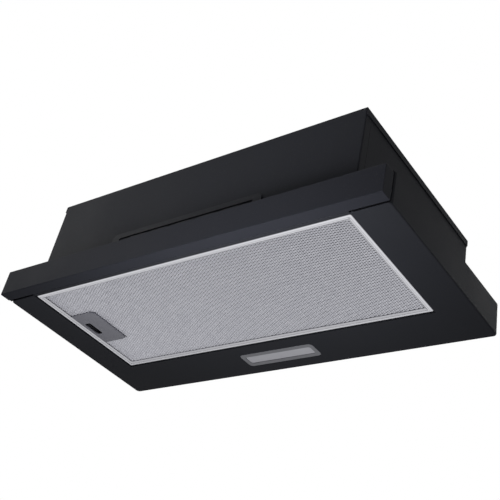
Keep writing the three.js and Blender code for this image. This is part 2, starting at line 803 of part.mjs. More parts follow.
// A hollow bar, folded in round its open back.
function handleBar() {
  const halfX = HANDLE_WIDTH / 2;
  const wall = HANDLE_WALL;
  const backX = halfX - HANDLE_BACK_INSET;
  const section = roundedRect(frontY, handleRearY, 0, HANDLE_HEIGHT, HANDLE_EDGE);
  const hollow = rect(frontY + wall, handleRearY - wall, wall, HANDLE_HEIGHT - wall);
  return cut(
    along("x", section, -halfX, halfX, HANDLE_EDGE / 2),
    along("x", hollow, -halfX + wall, halfX - wall),
    block(-backX, backX, frontY + wall, bayFrontY, HANDLE_RETURN, HANDLE_HEIGHT - HANDLE_RETURN),
  );
}

// The member behind the handle: a wall with a foot in front of the filter and a fold on top.
function trayFront() {
  const wallSection = foldedSheet([
    [trayFrontY, TRAY_TOP],
    [trayFrontY, FILTER_BOTTOM],
    [filterFrontY - CLEAR, FILTER_BOTTOM],
  ]);
  const topSection = foldedSheet([
    [trayFrontY + TRAY_FRONT_FLANGE, TRAY_TOP],
    [trayFrontY, TRAY_TOP],
    [trayFrontY, TRAY_TOP / 2],
  ]);
  const topX = trayWebX - SHEET;
  const topped = join(along("x", wallSection, -filterX, filterX), along("x", topSection, -topX, topX));
  return cut(topped, block(topX, filterX + 1, frontY, bayFrontY + 1, TRAY_TOP - BEND / 2, TRAY_TOP + 1));
}

// A channel open to the middle: the filter hangs under its lower fold.
function traySide() {
  const sideTop = TRAY_TOP - SHEET - CLEAR;
  const section = foldedSheet([
    [trayWebX - TRAY_SEAT, traySeatZ],
    [trayWebX, traySeatZ],
    [trayWebX, sideTop],
    [trayWebX - TRAY_TOP_FLANGE, sideTop],
  ]);
  return along("y", section, trayFrontY + SHEET + CLEAR, trayRearY);
}

// A tab under the rails, curled under the hinge pin.
function hingeHook(y) {
  const section = foldedSheet([
    [trayWebX - SHEET / 2, traySeatZ],
    [hingeX - hookR, traySeatZ],
    [hingeX - hookR, hingeZ - hookR],
    [hingeX + hookR, hingeZ - hookR],
    [hingeX + hookR, hingeZ],
  ], SHEET, pinBoreR);
  return along("y", section, y - HINGE_TAB_WIDTH / 2, y + HINGE_TAB_WIDTH / 2);
}

function trayRear() {
  const webInX = trayWebX - SHEET - CLEAR;
  const seatInX = trayWebX - TRAY_SEAT - CLEAR;
  const top = traySeatZ + TRAY_REAR_HEIGHT;
  const section = foldedSheet([
    [trayRearY - TRAY_SEAT, traySeatZ],
    [trayRearY, traySeatZ],
    [trayRearY, top],
  ]);
  const webZ = traySeatZ + SHEET + CLEAR;
  return join(
    along("x", section, -seatInX, seatInX),
    block(-webInX, webInX, trayRearY - SHEET, trayRearY, webZ + BEND, top),
  );
}

// ---------------------------------------------------------------------------------------------
// Grease filter with its latch
// ---------------------------------------------------------------------------------------------

function filterOutline(margin) {
  const halfX = filterX - margin;
  return roundedRect(-halfX, halfX, filterFrontY + margin, filterRearY - margin, FILTER_CORNER);
}

function latchOutline(margin) {
  const halfY = LATCH_DEPTH / 2 - margin;
  const y0 = latchY - halfY;
  return roundedRect(latchX + margin, latchInX - margin, y0, y0 + 2 * halfY, LATCH_CORNER - margin, 1);
}

// What the frame gives up at a hinge: a bore for the pin, and a pocket for the hook that is open
// at the top and outside only, so that the edge stays whole seen from below.
function hingePocket(y) {
  const half = HINGE_NOTCH_WIDTH / 2;
  const reach = (HINGE_PIN_LENGTH + CLEAR) / 2;
  return [
    block(layerX, filterX + 1, y - half, y + half, hingeZ, filterTopZ + 1),
    along("y", circle(hingeX, hingeZ, pocketR, SMALL_SIDES * 2), y - half, y + half),
    along("y", circle(hingeX, hingeZ, pinBoreR, SMALL_SIDES), y - reach, y + reach),
  ];
}

// A hollow frame whose strip has a ridge and a slope down to the mesh.
function filterFrame() {
  const slopeWidth = FILTER_STRIP - FILTER_RIDGE;
  const range = (margin) => [filterFrontY + margin, filterRearY - margin];
  const slope = frustum(
    filterX - FILTER_RIDGE + slopeWidth, range(FILTER_RIDGE - slopeWidth), FILTER_BOTTOM - FILTER_SLOPE,
    filterX - FILTER_STRIP, range(FILTER_STRIP), FILTER_BOTTOM + FILTER_SLOPE,
  );
  const grooveZ = FILTER_BOTTOM + FILTER_SLOPE + FILTER_WALL;
  const hollow = cut(
    along("z", filterOutline(0), FILTER_BOTTOM, filterTopZ, FILTER_EDGE),
    slope,
    along("z", filterOutline(FILTER_STRIP), FILTER_BOTTOM, filterTopZ + 1),
    along("z", filterOutline(FILTER_WALL), grooveZ, filterTopZ - FILTER_WALL),
  );
  const bosses = hingePlaces.map((y) => {
    const half = HINGE_PIN_LENGTH / 2 + SHEET;
    const bossX = filterX - FILTER_WALL / 2;
    return block(layerX + CLEAR, bossX, y - half, y + half, grooveZ - SHEET, hingeZ + hookR);
  });
  return cut(join(hollow, ...bosses), ...hingePlaces.flatMap(hingePocket));
}

// One layer held in the frame's groove, open where the latch stands.
function filterLayer(z0, z1) {
  return cut(
    along("z", filterOutline(filterX - layerX), z0, z1),
    along("z", latchOutline(-CLEAR), z0 - 1, z1 + 1),
  );
}

const backingZ = filterLidZ - MESH_THICKNESS;
const filterMesh = () => filterLayer(meshZ, meshZ + MESH_THICKNESS);
const filterMedia = () => filterLayer(meshZ + MESH_THICKNESS + CLEAR, backingZ - CLEAR);
const filterBacking = () => filterLayer(backingZ, filterLidZ);

function hingePin() {
  const pin = circle(hingeX, hingeZ, HINGE_PIN_R, SMALL_SIDES);
  return along("y", pin, -HINGE_PIN_LENGTH / 2, HINGE_PIN_LENGTH / 2);
}

// A shallow cup set in the filter, with the finger opening in its floor.
function latchHousing() {
  const top = filterTopZ - CLEAR;
  const fingerX = gripX - FINGER_WIDTH;
  const halfY = FINGER_DEPTH / 2;
  const finger = roundedRect(fingerX, gripX, latchY - halfY, latchY + halfY, FINGER_CORNER);
  return cut(
    along("z", latchOutline(0), LATCH_BOTTOM, top, 0.5),
    along("z", latchOutline(LATCH_WALL), LATCH_BOTTOM + LATCH_WALL, top + 1),
    along("z", finger, 0, top),
  );
}

const sliderX = gripX + CLEAR;
const sliderZ = LATCH_BOTTOM + LATCH_WALL + CLEAR;
const springX1 = latchInX - LATCH_WALL - CLEAR;
const springX0 = springX1 - LATCH_TRAVEL - (SPRING_CURLS + 1) * 2 * SPRING_WIRE_R;
const sliderInX = springX0 - CLEAR;

// A plate with a grip for the finger and two tongues that reach up to the tray's fold.
function latchSlider() {
  const halfY = LATCH_DEPTH / 2 - LATCH_WALL - LATCH_CORNER;
  const gripHalf = FINGER_DEPTH / 2 - FINGER_CORNER;
  const noseX = -(trayWebX - TRAY_SEAT) + CLEAR;
  const noseZ = traySeatZ + SHEET + CLEAR;
  const tongueX = (sliderX + sliderInX) / 2;
  const tongue = polygon([
    [tongueX, sliderZ],
    [tongueX + TONGUE_NOSE, sliderZ],
    [tongueX + TONGUE_NOSE, noseZ + TONGUE_NOSE],
    [noseX + TONGUE_NOSE / 2, noseZ + TONGUE_NOSE],
    [noseX, noseZ],
    [tongueX, noseZ],
  ]);
  const tongues = [-1, 1].map((side) => {
    const y = latchY + side * (halfY - TONGUE_INSET);
    return along("y", tongue, y - TONGUE_WIDTH / 2, y + TONGUE_WIDTH / 2);
  });
  const gripTop = filterTopZ - 2 * CLEAR;
  return join(
    block(sliderX, sliderInX, latchY - halfY, latchY + halfY, sliderZ, sliderZ + LATCH_PLATE),
    block(sliderX, sliderX + LATCH_WALL, latchY - gripHalf, latchY + gripHalf, sliderZ, gripTop),
    block(sliderInX - LATCH_WALL, sliderInX, latchY - SPRING_R * 2, latchY + SPRING_R * 2, sliderZ, gripTop),
    ...tongues,
  );
}

// One wire wound along X, closed at both ends.
function latchSpring() {
  const stepsPerCurl = 8;
  const sides = 5;
  const steps = stepsPerCurl * SPRING_CURLS;
  const run = springX1 - springX0 - 2 * SPRING_WIRE_R;
  const centreZ = sliderZ + SPRING_R + SPRING_WIRE_R;
  const points = [];
  const faces = [];
  for (let step = 0; step <= steps; step++) {
    const turn = (2 * Math.PI * step) / stepsPerCurl;
    const radial = new THREE.Vector3(0, Math.cos(turn), Math.sin(turn));
    const centre = radial.clone().multiplyScalar(SPRING_R);
    centre.add(new THREE.Vector3(springX0 + SPRING_WIRE_R + (run * step) / steps, latchY, centreZ));
    for (let side = 0; side < sides; side++) {
      const angle = (2 * Math.PI * side) / sides;
      const point = centre.clone().addScaledVector(radial, SPRING_WIRE_R * Math.cos(angle));
      point.x += SPRING_WIRE_R * Math.sin(angle);
      points.push(...point.toArray());
      if (step === steps) continue;
      const a = step * sides + side;
      const b = step * sides + ((side + 1) % sides);
      faces.push(a, b + sides, b, a, a + sides, b + sides);
    }
  }
  const last = steps * sides;
  for (let side = 1; side < sides - 1; side++) {
    faces.push(0, side, side + 1, last, last + side + 1, last + side);
  }
  const geometry = new THREE.BufferGeometry();
  geometry.setAttribute("position", new THREE.Float32BufferAttribute(points, 3));
  geometry.setIndex(faces);
  return solid(geometry);
}

// ---------------------------------------------------------------------------------------------
// Blower, in a group whose origin is on the shaft
// ---------------------------------------------------------------------------------------------

const tongueY = SCROLL_START_R * Math.cos(THREE.MathUtils.degToRad(SCROLL_START_DEG));
const scrollTopZ = boxTopZ - BLOWER_Z;
const scrollSideX = WHEEL_WIDTH / 2 + SCROLL_SIDE_GAP + SCROLL_WALL;
const scrollSteps = 28;

// The spiral grows from the tongue round under the wheel, then the outlet runs straight up.
function scrollOutline(margin, topZ) {
  const points = [];
  for (let i = 0; i <= scrollSteps; i++) {
    const part = i / scrollSteps;
    const angle = THREE.MathUtils.degToRad(SCROLL_START_DEG - (SCROLL_START_DEG + 180) * part);
    const radius = THREE.MathUtils.lerp(SCROLL_START_R, SCROLL_END_R, part) + margin;
    points.push([radius * Math.cos(angle), radius * Math.sin(angle)]);
  }
  points.push([-SCROLL_END_R - margin, topZ], [tongueY + margin, topZ]);
  return polygon(points);
}

function blowerHousing() {
  const seamX = CLEAR / 2;
  const flangeY0 = -SCROLL_END_R - SCROLL_FLANGE;
  const flangeY1 = tongueY + SCROLL_FLANGE;
  const flangeX = scrollSideX + SCROLL_FLANGE;
  const lipX = scrollSideX - SCROLL_WALL - INLET_LIP;
  const shell = join(
    along("x", scrollOutline(SCROLL_WALL, scrollTopZ), seamX, scrollSideX),
    block(seamX, flangeX, flangeY0, flangeY1, scrollTopZ - SCROLL_WALL, scrollTopZ),
  );
  const lip = along("x", circle(0, 0, INLET_R + SCROLL_WALL), lipX, scrollSideX);
  return cut(
    join(
      cut(shell, along("x", scrollOutline(0, scrollTopZ + 1), -1, scrollSideX - SCROLL_WALL)),
      lip,
    ),
    along("x", circle(0, 0, INLET_R), 0, scrollSideX + 1),
  );
}

// A forward-curved blade: the sweep grows towards the rim.
function bladeOutline(index) {
  const steps = 3;
  const root = WHEEL_INNER_R + 0.4;
  const tip = WHEEL_R - 0.4;
  const near = [];
  const far = [];
  for (let i = 0; i <= steps; i++) {
    const part = i / steps;
    const radius = THREE.MathUtils.lerp(root, tip, part);
    const sweep = THREE.MathUtils.degToRad(BLADE_SWEEP_DEG) * part ** 1.7;
    const angle = (2 * Math.PI * index) / BLADE_COUNT - sweep;
    const half = BLADE_THICKNESS / 2 / radius;
    near.push([radius * Math.cos(angle - half), radius * Math.sin(angle - half)]);
    far.unshift([radius * Math.cos(angle + half), radius * Math.sin(angle + half)]);
  }
  return polygon([...near, ...far]);
}

function collarAboutX(inner, outer, x0, x1) {
  return along("x", ring(circle(0, 0, outer), circle(0, 0, inner)), x0, x1);
}

const hubX0 = -HUB_LENGTH / 3;

// The squirrel-cage wheel: blades between two end rings, carried by one disc on a hub.
function impeller() {
  const halfX = WHEEL_WIDTH / 2;
  const bladeX = halfX - WHEEL_RING / 2;
  const discX = hubX0 + HUB_LENGTH / 2;
  const blades = Array.from({ length: BLADE_COUNT }, (_, i) =>
    along("x", bladeOutline(i), -bladeX, bladeX));
  return join(
    collarAboutX(WHEEL_INNER_R, WHEEL_R, -halfX, -halfX + WHEEL_RING),
    collarAboutX(WHEEL_INNER_R, WHEEL_R, halfX - WHEEL_RING, halfX),
    collarAboutX(SHAFT_R + CLEAR, WHEEL_INNER_R + 2, discX, discX + WHEEL_RING),
    collarAboutX(SHAFT_R + CLEAR, HUB_R, hubX0, hubX0 + HUB_LENGTH),
    ...blades,
  );
}

const motorRearX = -scrollSideX;
const motorFrontX = motorRearX + MOTOR_LENGTH;

function motorShaft() {
  const endX = hubX0 + HUB_LENGTH + SHAFT_R;
  return along("x", circle(0, 0, SHAFT_R, SMALL_SIDES * 2), endX - SHAFT_LENGTH, endX, 0.5);
}

// A ribbed body between two end bells, bored for the shaft.
function motorBody() {
  const bell = 6;
  const finPitch = (MOTOR_LENGTH - 2 * bell) / MOTOR_FINS;
  const profile = [[0, motorRearX], [BRACKET_HUB_R, motorRearX], [MOTOR_R - 2, motorRearX + bell]];
  for (let i = 0; i < MOTOR_FINS; i++) {
    const x = motorRearX + bell + finPitch * i;
    profile.push([MOTOR_R - 2, x + 0.2 * finPitch], [MOTOR_R, x + 0.3 * finPitch]);
    profile.push([MOTOR_R, x + 0.9 * finPitch], [MOTOR_R - 2, x + finPitch]);
  }
  profile.push([BRACKET_HUB_R, motorFrontX], [0, motorFrontX]);
  const shaftEndX = hubX0 + HUB_LENGTH + SHAFT_R - SHAFT_LENGTH;
  const bore = along("x", circle(0, 0, SHAFT_R + CLEAR, SMALL_SIDES), shaftEndX - CLEAR, motorFrontX + 1);
  return cut(turnedAboutX(profile, 24), bore);
}

// A rim on the housing's left side and three arms that carry the motor in the inlet.
function motorBracket() {
  const x1 = -scrollSideX - CLEAR;
  const x0 = x1 - BRACKET_THICKNESS;
  const half = BRACKET_ARM / 2;
  const arms = [90, 210, 330].map((degrees) => {
    const arm = along("x", rect(BRACKET_HUB_R - 2, INLET_R + 4, -half, half), x0, x1);
    return arm.rotate([degrees, 0, 0]);
  });
  return join(
    collarAboutX(INLET_R + 2, BRACKET_RIM_R, x0, x1),
    collarAboutX(SHAFT_R, BRACKET_HUB_R, x0, x1),
    ...arms,
  );
}

// ---------------------------------------------------------------------------------------------
// Outlet collar and flaps, in a group whose origin is on the top cover at the outlet's centre
// ---------------------------------------------------------------------------------------------

const outletInR = OUTLET_R - OUTLET_WALL;

// A spigot with a ledge that the flaps lie on, bored for the pivot bar.
function outletCollar() {
  const ledgeTop = FLAP_PIVOT - FLAP_THICKNESS / 2 - CLEAR;
  const bead = 0.5;
  const collar = turned([
    [outletInR, CLEAR],
    [OUTLET_FLANGE_R, CLEAR],
    [OUTLET_FLANGE_R, CLEAR + OUTLET_FLANGE],
    [OUTLET_R, CLEAR + OUTLET_FLANGE + bead],
    [OUTLET_R, OUTLET_HEIGHT - 3 * bead],
    [OUTLET_R + bead, OUTLET_HEIGHT - bead],
    [OUTLET_R + bead, OUTLET_HEIGHT],
    [outletInR, OUTLET_HEIGHT],
    [outletInR, ledgeTop],
    [outletInR - OUTLET_LEDGE, ledgeTop],
    [outletInR - OUTLET_LEDGE, ledgeTop - OUTLET_WALL],
    [outletInR, ledgeTop - OUTLET_WALL - OUTLET_LEDGE / 2],
  ], 40);
  const bore = circle(0, FLAP_PIVOT, FLAP_BAR_R + CLEAR, SMALL_SIDES);
  return cut(collar, along("x", bore, -OUTLET_R - 1, OUTLET_R + 1));
}

function flapBar() {
  const bar = circle(0, FLAP_PIVOT, FLAP_BAR_R, SMALL_SIDES);
  return along("x", bar, -OUTLET_R + CLEAR, OUTLET_R - CLEAR);
}

// The rear half disc with two knuckles on the bar; the front flap is the same turned half round.
function flap() {
  const z0 = FLAP_PIVOT - FLAP_THICKNESS / 2;
  const edgeY = KNUCKLE_R + 2 * CLEAR;
  const disc = cut(
    along("z", circle(0, 0, outletInR - FLAP_RIM_GAP), z0, z0 + FLAP_THICKNESS),
    block(-OUTLET_R, OUTLET_R, -OUTLET_R, edgeY, z0 - 1, z0 + FLAP_THICKNESS + 1),
  );
  const knuckles = [-1.5, 0.5].flatMap((place) => {
    const x0 = place * KNUCKLE_PITCH - KNUCKLE_LENGTH / 2;
    const x1 = x0 + KNUCKLE_LENGTH;
    return [
      along("x", circle(0, FLAP_PIVOT, KNUCKLE_R, SMALL_SIDES), x0, x1),
      block(x0, x1, FLAP_BAR_R, edgeY + 1, z0, z0 + FLAP_THICKNESS),
    ];
  });
  const bore = along("x", circle(0, FLAP_PIVOT, FLAP_BAR_R + CLEAR, SMALL_SIDES), -OUTLET_R, OUTLET_R);
  return cut(join(disc, ...knuckles), bore);
}

// ---------------------------------------------------------------------------------------------
// Electrical box, capacitor and cable gland on the rear wall and top cover
// ---------------------------------------------------------------------------------------------

const rearWallInY = boxRearY - SHEET - CLEAR;
const glandY = boxRearY - GLAND_INSET;
const blowerY = baseRearY - BLOWER_REAR;
const outletY = blowerY + (tongueY - SCROLL_END_R) / 2;

function terminalOutline(margin) {
  const halfX = TERMINAL_WIDTH / 2 - margin;
  const halfZ = TERMINAL_HEIGHT / 2 - margin;
  return roundedRect(TERMINAL_X - halfX, TERMINAL_X + halfX, TERMINAL_Z - halfZ, TERMINAL_Z + halfZ, 2);
}

function terminalBox() {
  const openY = rearWallInY - TERMINAL_DEPTH;
  return cut(
    along("y", terminalOutline(0), openY, rearWallInY),
    along("y", terminalOutline(TERMINAL_WALL), openY - 1, rearWallInY - TERMINAL_WALL),
  );
}

// The lid's inner step stands in the box's mouth.
function terminalLid() {
  const openY = rearWallInY - TERMINAL_DEPTH - CLEAR;
  return join(
    along("y", terminalOutline(0), openY - TERMINAL_WALL, openY, 0.5),
    along("y", terminalOutline(TERMINAL_WALL + CLEAR), openY - 1, openY + TERMINAL_WALL),
  );
}

function capacitor() {
  const centreY = rearWallInY - CAPACITOR_R;
  const can = circle(centreY, TERMINAL_Z, CAPACITOR_R, SMALL_SIDES * 2);
  const x0 = CAPACITOR_X - CAPACITOR_LENGTH / 2;
  const terminalX = x0 + CAPACITOR_LENGTH;
  return join(
    along("x", can, x0, x0 + CAPACITOR_LENGTH, 1.5),
    along("x", circle(centreY, TERMINAL_Z, CAPACITOR_R / 3, SMALL_SIDES), terminalX - 1, terminalX + 6),
  );
}

// A grommet gripped by the edge of its hole in the top cover.
function cableGland() {
  const under = boxTopZ;
  const over = BOX_HEIGHT + CLEAR;
  const rimR = GLAND_R + GLAND_RIM;
  return turned([
    [GLAND_BORE_R, under - GLAND_RIM],
    [GLAND_R, under - GLAND_RIM],
    [rimR, under - 1],
    [rimR, under],
    [GLAND_R - CLEAR, under],
    [GLAND_R - CLEAR, over],
    [rimR, over],
    [rimR, over + 1],
    [GLAND_R - 1, over + GLAND_RIM],
    [GLAND_BORE_R, over + GLAND_RIM],
  ], 16);
}

// ---------------------------------------------------------------------------------------------
// Assembly
// ---------------------------------------------------------------------------------------------

const housing = group(hood);
addPart(housing, "base_pan", basePan(), "paint");
addPart(housing, "body_wrap", bodyWrap(), "paint");
addPart(housing, "front_panel", frontPanel(), "paint");
addPart(housing, "top_cover", topCover(), "paint");
addPart(housing, "control_fascia", controlFascia(), "blackPlastic");
addPart(housing, "control_board", controlBoard(), "board");
addPart(housing, "lamp_bezel", lampBezel(), "greyPlastic");
addPart(housing, "lamp_lens", lampLens(), "lens");
addPart(housing, "lamp_board", lampBoard(), "board");
addPart(housing, "lamp_driver", lampDriver(), "whitePlastic");
addPart(housing, "inner_filter_frame", innerFilterFrame(), "aluminium");
addPart(housing, "inner_filter_mesh", innerFilterMesh(), "aluminium");
addPart(housing, "inner_filter_rail", innerFilterRail(), "zinc");
addPart(housing, "terminal_box", terminalBox(), "whitePlastic");
addPart(housing, "terminal_lid", terminalLid(), "whitePlastic");
addPart(housing, "capacitor", capacitor(), "whitePlastic");
addPart(group(housing, GLAND_X, glandY), "cable_gland", cableGland(), "blackPlastic");

keyPlaces().forEach((x, i) => {
  addPart(group(housing, x), "key_" + (i + 1), controlKey(), "blackPlastic");
});

addPair(housing, "rail_outer", outerRail, "zinc");
addPair(group(hood), "rail_middle", middleRail, "zinc");

const tray = group(hood);
addPart(tray, "handle_bar", handleBar(), "paint");
addPart(tray, "tray_front", trayFront(), "paint");
addPart(tray, "tray_side_right", join(traySide(), ...hingePlaces.map(hingeHook)), "paint");
addPart(tray, "tray_side_left", traySide(), "paint").scale.x = -1;
addPart(tray, "tray_rear", trayRear(), "paint");
addPair(tray, "rail_inner", innerRail, "zinc");

const filter = group(tray);
addPart(filter, "filter_frame", filterFrame(), "aluminium");
addPart(filter, "filter_mesh", filterMesh(), "aluminium");
addPart(filter, "filter_media", filterMedia(), "aluminium");
addPart(filter, "filter_backing", filterBacking(), "aluminium");
addPart(group(filter, 0, hingePlaces[0]), "filter_pin_front", hingePin(), "zinc");
addPart(group(filter, 0, hingePlaces[1]), "filter_pin_rear", hingePin(), "zinc");
addPart(filter, "latch_housing", latchHousing(), "greyPlastic");
addPart(filter, "latch_slider", latchSlider(), "blackPlastic");
addPart(filter, "latch_spring", latchSpring(), "zinc");

const blower = group(housing, 0, blowerY, BLOWER_Z);
addPair(blower, "blower_housing", blowerHousing, "blackPlastic");
addPart(blower, "motor_body", motorBody(), "motorSteel");
addPart(blower, "motor_bracket", motorBracket(), "zinc");
const wheel = group(blower);
addPart(wheel, "impeller", impeller(), "whitePlastic");
addPart(wheel, "motor_shaft", motorShaft(), "zinc");

const outlet = group(housing, 0, outletY, BOX_HEIGHT);
addPart(outlet, "outlet_collar", outletCollar(), "blackPlastic");
addPart(outlet, "flap_bar", flapBar(), "zinc");
addPart(outlet, "flap_rear", flap(), "blackPlastic");
addPart(outlet, "flap_front", flap(), "blackPlastic").rotation.z = Math.PI;

export default hood;
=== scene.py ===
# %% [markdown]
# # Pull out range hood
# This lesson dresses a finished hood in paint, aluminium and plastic, and adds the fine pieces
# that sheet metal work leaves on such a product: expanded mesh, a rolled bead, a return spring
# and screws. Near-black slabs in the gaps behind the handle are painted shade.
# The hood itself arrives as a set of named solids, and its moving groups are called bodies.

# %% Load the hood
import math

import bpy
from mathutils import Matrix, Vector


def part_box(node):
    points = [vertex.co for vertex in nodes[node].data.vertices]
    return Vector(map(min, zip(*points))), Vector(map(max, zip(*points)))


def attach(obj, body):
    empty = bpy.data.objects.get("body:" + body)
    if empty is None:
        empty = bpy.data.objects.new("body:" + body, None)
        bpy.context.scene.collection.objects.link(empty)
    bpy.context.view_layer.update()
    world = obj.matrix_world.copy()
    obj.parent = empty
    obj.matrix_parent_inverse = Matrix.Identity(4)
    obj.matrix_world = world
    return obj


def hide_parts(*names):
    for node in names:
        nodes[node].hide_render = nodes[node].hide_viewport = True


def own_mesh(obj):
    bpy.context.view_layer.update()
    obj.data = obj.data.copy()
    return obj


MM = 0.001

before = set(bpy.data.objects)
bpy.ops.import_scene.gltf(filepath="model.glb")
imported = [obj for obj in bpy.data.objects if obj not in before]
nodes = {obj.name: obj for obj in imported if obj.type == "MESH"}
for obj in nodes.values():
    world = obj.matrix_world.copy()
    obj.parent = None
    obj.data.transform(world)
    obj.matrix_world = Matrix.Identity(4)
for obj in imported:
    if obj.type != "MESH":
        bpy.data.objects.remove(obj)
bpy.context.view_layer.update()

# %% [markdown]
# ## Camera
# A hood hangs above the cook, so it is seen from below and from its right end. A long lens keeps
# the edges of the box nearly parallel. The camera is placed by its own three directions, because
# a matrix says exactly where right and up are.

# %% Place the camera
SENSOR_WIDTH = 36
FOCAL_LENGTH = 63.97
CAMERA_PLACE = Vector((0.68245, -0.73674, -0.57546))
CAMERA_RIGHT = Vector((0.80240529, 0.56662455, 0.18730289))
CAMERA_UP = Vector((0.20338712, -0.55471441, 0.80679961))
camera_data = bpy.data.cameras.new("camera")
camera_data.sensor_width = SENSOR_WIDTH
camera_data.lens = FOCAL_LENGTH
camera_data.clip_start = 0.02
camera = bpy.data.objects.new("camera", camera_data)
bpy.context.scene.collection.objects.link(camera)
turn = Matrix((CAMERA_RIGHT, CAMERA_UP, CAMERA_RIGHT.cross(CAMERA_UP))).transposed()
camera.matrix_world = Matrix.Translation(CAMERA_PLACE) @ turn.to_4x4()
bpy.context.scene.camera = camera
bpy.context.scene.view_settings.view_transform = "Standard"
print("camera looks along", [round(v, 3) for v in -CAMERA_RIGHT.cross(CAMERA_UP)])

# %% [markdown]
# ## Background, floor and lamps
# A photograph of a product is lit so that the paper behind it turns white, while the product
# keeps its own dark tone. One bright backdrop would wash out the paint, so there are two: white
# for the rays of the camera and of reflections, and a much weaker one for light. Light Path tells
# those rays apart. A small helper adds a node and fills its sockets in one line.

# %% A helper for nodes
def node(tree, kind, **settings):
    """Adds a node. A setting whose name starts with in_ fills the socket of that name."""
    made = tree.nodes.new(kind)
    for key, value in settings.items():
        if key.startswith("in_"):
            made.inputs[key[3:].replace("_", " ")].default_value = value
        else:
            setattr(made, key, value)
    return made


# %% White background, soft light
AMBIENT = 0.2
WHITE = (1, 1, 1, 1)
DAYLIGHT = (0.93, 0.95, 1.0, 1)


def make_world():
    world = bpy.data.worlds.new("studio")
    world.use_nodes = True
    tree = world.node_tree
    tree.nodes.clear()
    path = node(tree, "ShaderNodeLightPath")
    seen = node(tree, "ShaderNodeMath", operation="MAXIMUM")
    seen_or_mirrored = node(tree, "ShaderNodeMath", operation="MAXIMUM")
    mix = node(tree, "ShaderNodeMixShader")
    soft = node(tree, "ShaderNodeBackground", in_Color=DAYLIGHT, in_Strength=AMBIENT)
    white = node(tree, "ShaderNodeBackground", in_Color=WHITE, in_Strength=1)
    out = node(tree, "ShaderNodeOutputWorld")
    tree.links.new(path.outputs["Is Camera Ray"], seen.inputs[0])
    tree.links.new(path.outputs["Is Transmission Ray"], seen.inputs[1])
    tree.links.new(seen.outputs[0], seen_or_mirrored.inputs[0])
    tree.links.new(path.outputs["Is Glossy Ray"], seen_or_mirrored.inputs[1])
    tree.links.new(seen_or_mirrored.outputs[0], mix.inputs[0])
    tree.links.new(soft.outputs[0], mix.inputs[1])
    tree.links.new(white.outputs[0], mix.inputs[2])
    tree.links.new(mix.outputs[0], out.inputs["Surface"])
    bpy.context.scene.world = world


make_world()
print("ambient light:", AMBIENT)

# %% [markdown]
# The hood hangs, so its floor is far below it. The aluminium filter mirrors that floor, and it
# would turn dark above a plain one. So the floor glows a little: evenly for the camera, and in
# reflections more towards its middle. Diffuse rays see none of the glow, so the floor lights the
# hood only by what the lamps give it, and shadows stay on it.

# %% Floor
FLOOR_DROP = 1.6
FLOOR_SIZE = 12
FLOOR_TONE = 0.5
FLOOR_GLOW = 0.38
FLOOR_POOL = 0.66
POOL_EDGE = 1.2
POOL_END = 2.4


def deselect_all():
    if bpy.context.object and bpy.context.object.mode != "OBJECT":
        bpy.ops.object.mode_set(mode="OBJECT")
    bpy.ops.object.select_all(action="DESELECT")


def principled(name):
    material = bpy.data.materials.new(name)
    material.use_nodes = True
    return material, material.node_tree, material.node_tree.nodes["Principled BSDF"]


def make_floor_paint():
    paint, tree, shader = principled("pale_floor")
    shader.inputs["Base Color"].default_value = (FLOOR_TONE, FLOOR_TONE, FLOOR_TONE, 1)
    shader.inputs["Roughness"].default_value = 0.9
    shader.inputs["Emission Color"].default_value = WHITE
    path = node(tree, "ShaderNodeLightPath")
    place = node(tree, "ShaderNodeTexCoord")
    reach = node(tree, "ShaderNodeVectorMath", operation="LENGTH")
    pool = node(tree, "ShaderNodeMapRange", in_From_Min=POOL_EDGE, in_From_Max=POOL_END)
    pool.inputs["To Min"].default_value = FLOOR_POOL
    pool.inputs["To Max"].default_value = FLOOR_GLOW
    mirrored = node(tree, "ShaderNodeMath", operation="MULTIPLY")
    glow = node(tree, "ShaderNodeMath", operation="MULTIPLY_ADD")
    glow.inputs[1].default_value = FLOOR_GLOW
    tree.links.new(place.outputs["Object"], reach.inputs[0])
    tree.links.new(reach.outputs["Value"], pool.inputs["Value"])
    tree.links.new(path.outputs["Is Glossy Ray"], mirrored.inputs[0])
    tree.links.new(pool.outputs[0], mirrored.inputs[1])
    tree.links.new(path.outputs["Is Camera Ray"], glow.inputs[0])
    tree.links.new(mirrored.outputs[0], glow.inputs[2])
    tree.links.new(glow.outputs[0], shader.inputs["Emission Strength"])
    return paint


deselect_all()
bpy.ops.mesh.primitive_plane_add(size=FLOOR_SIZE, location=(0, 0, -FLOOR_DROP))
floor = bpy.context.object
floor.name = "floor"
floor.data.materials.append(make_floor_paint())
print("floor at:", round(floor.location.z, 2))

# %% [markdown]
# Four area lamps stand round the hood. The key lamp is far off to the left and gives the fronts
# their slow fade from left to right. A lamp above and one behind light what the camera can't see
# from below. The lamp underneath is small and has a narrow spread, so that the underside fades
# towards the rear. It is kept out of reflections, where its square shape would show.

# %% Lamps
LAMPS = [
    # name, place, aimed at, size, watts, spread in degrees
    ("key_lamp", (-2.6, -1.5, 1.5), (0, -0.1, 0.08), 1.3, 30, 180),
    ("under_lamp", (0.16, -0.37, -0.46), (0.09, -0.23, 0), 0.35, 2.0, 78),
    ("top_lamp", (-0.4, 0.2, 2.4), (0, 0, 0.1), 2.0, 22, 180),
    ("back_lamp", (-0.1, 2.7, 1.2), (0, 0, 0.1), 1.6, 42, 180),
]


def add_lamp(name, place, aim, size, watts, spread):
    light = bpy.data.lights.new(name, "AREA")
    light.shape = "SQUARE"
    light.size = size
    light.energy = watts
    light.spread = math.radians(spread)
    lamp = bpy.data.objects.new(name, light)
    lamp.location = place
    lamp.rotation_euler = (Vector(aim) - Vector(place)).to_track_quat("-Z", "Y").to_euler()
    lamp.visible_camera = False
    lamp.visible_glossy = name != "under_lamp"
    bpy.context.scene.collection.objects.link(lamp)


for lamp_values in LAMPS:
    add_lamp(*lamp_values)
print("lamps:", len(LAMPS))

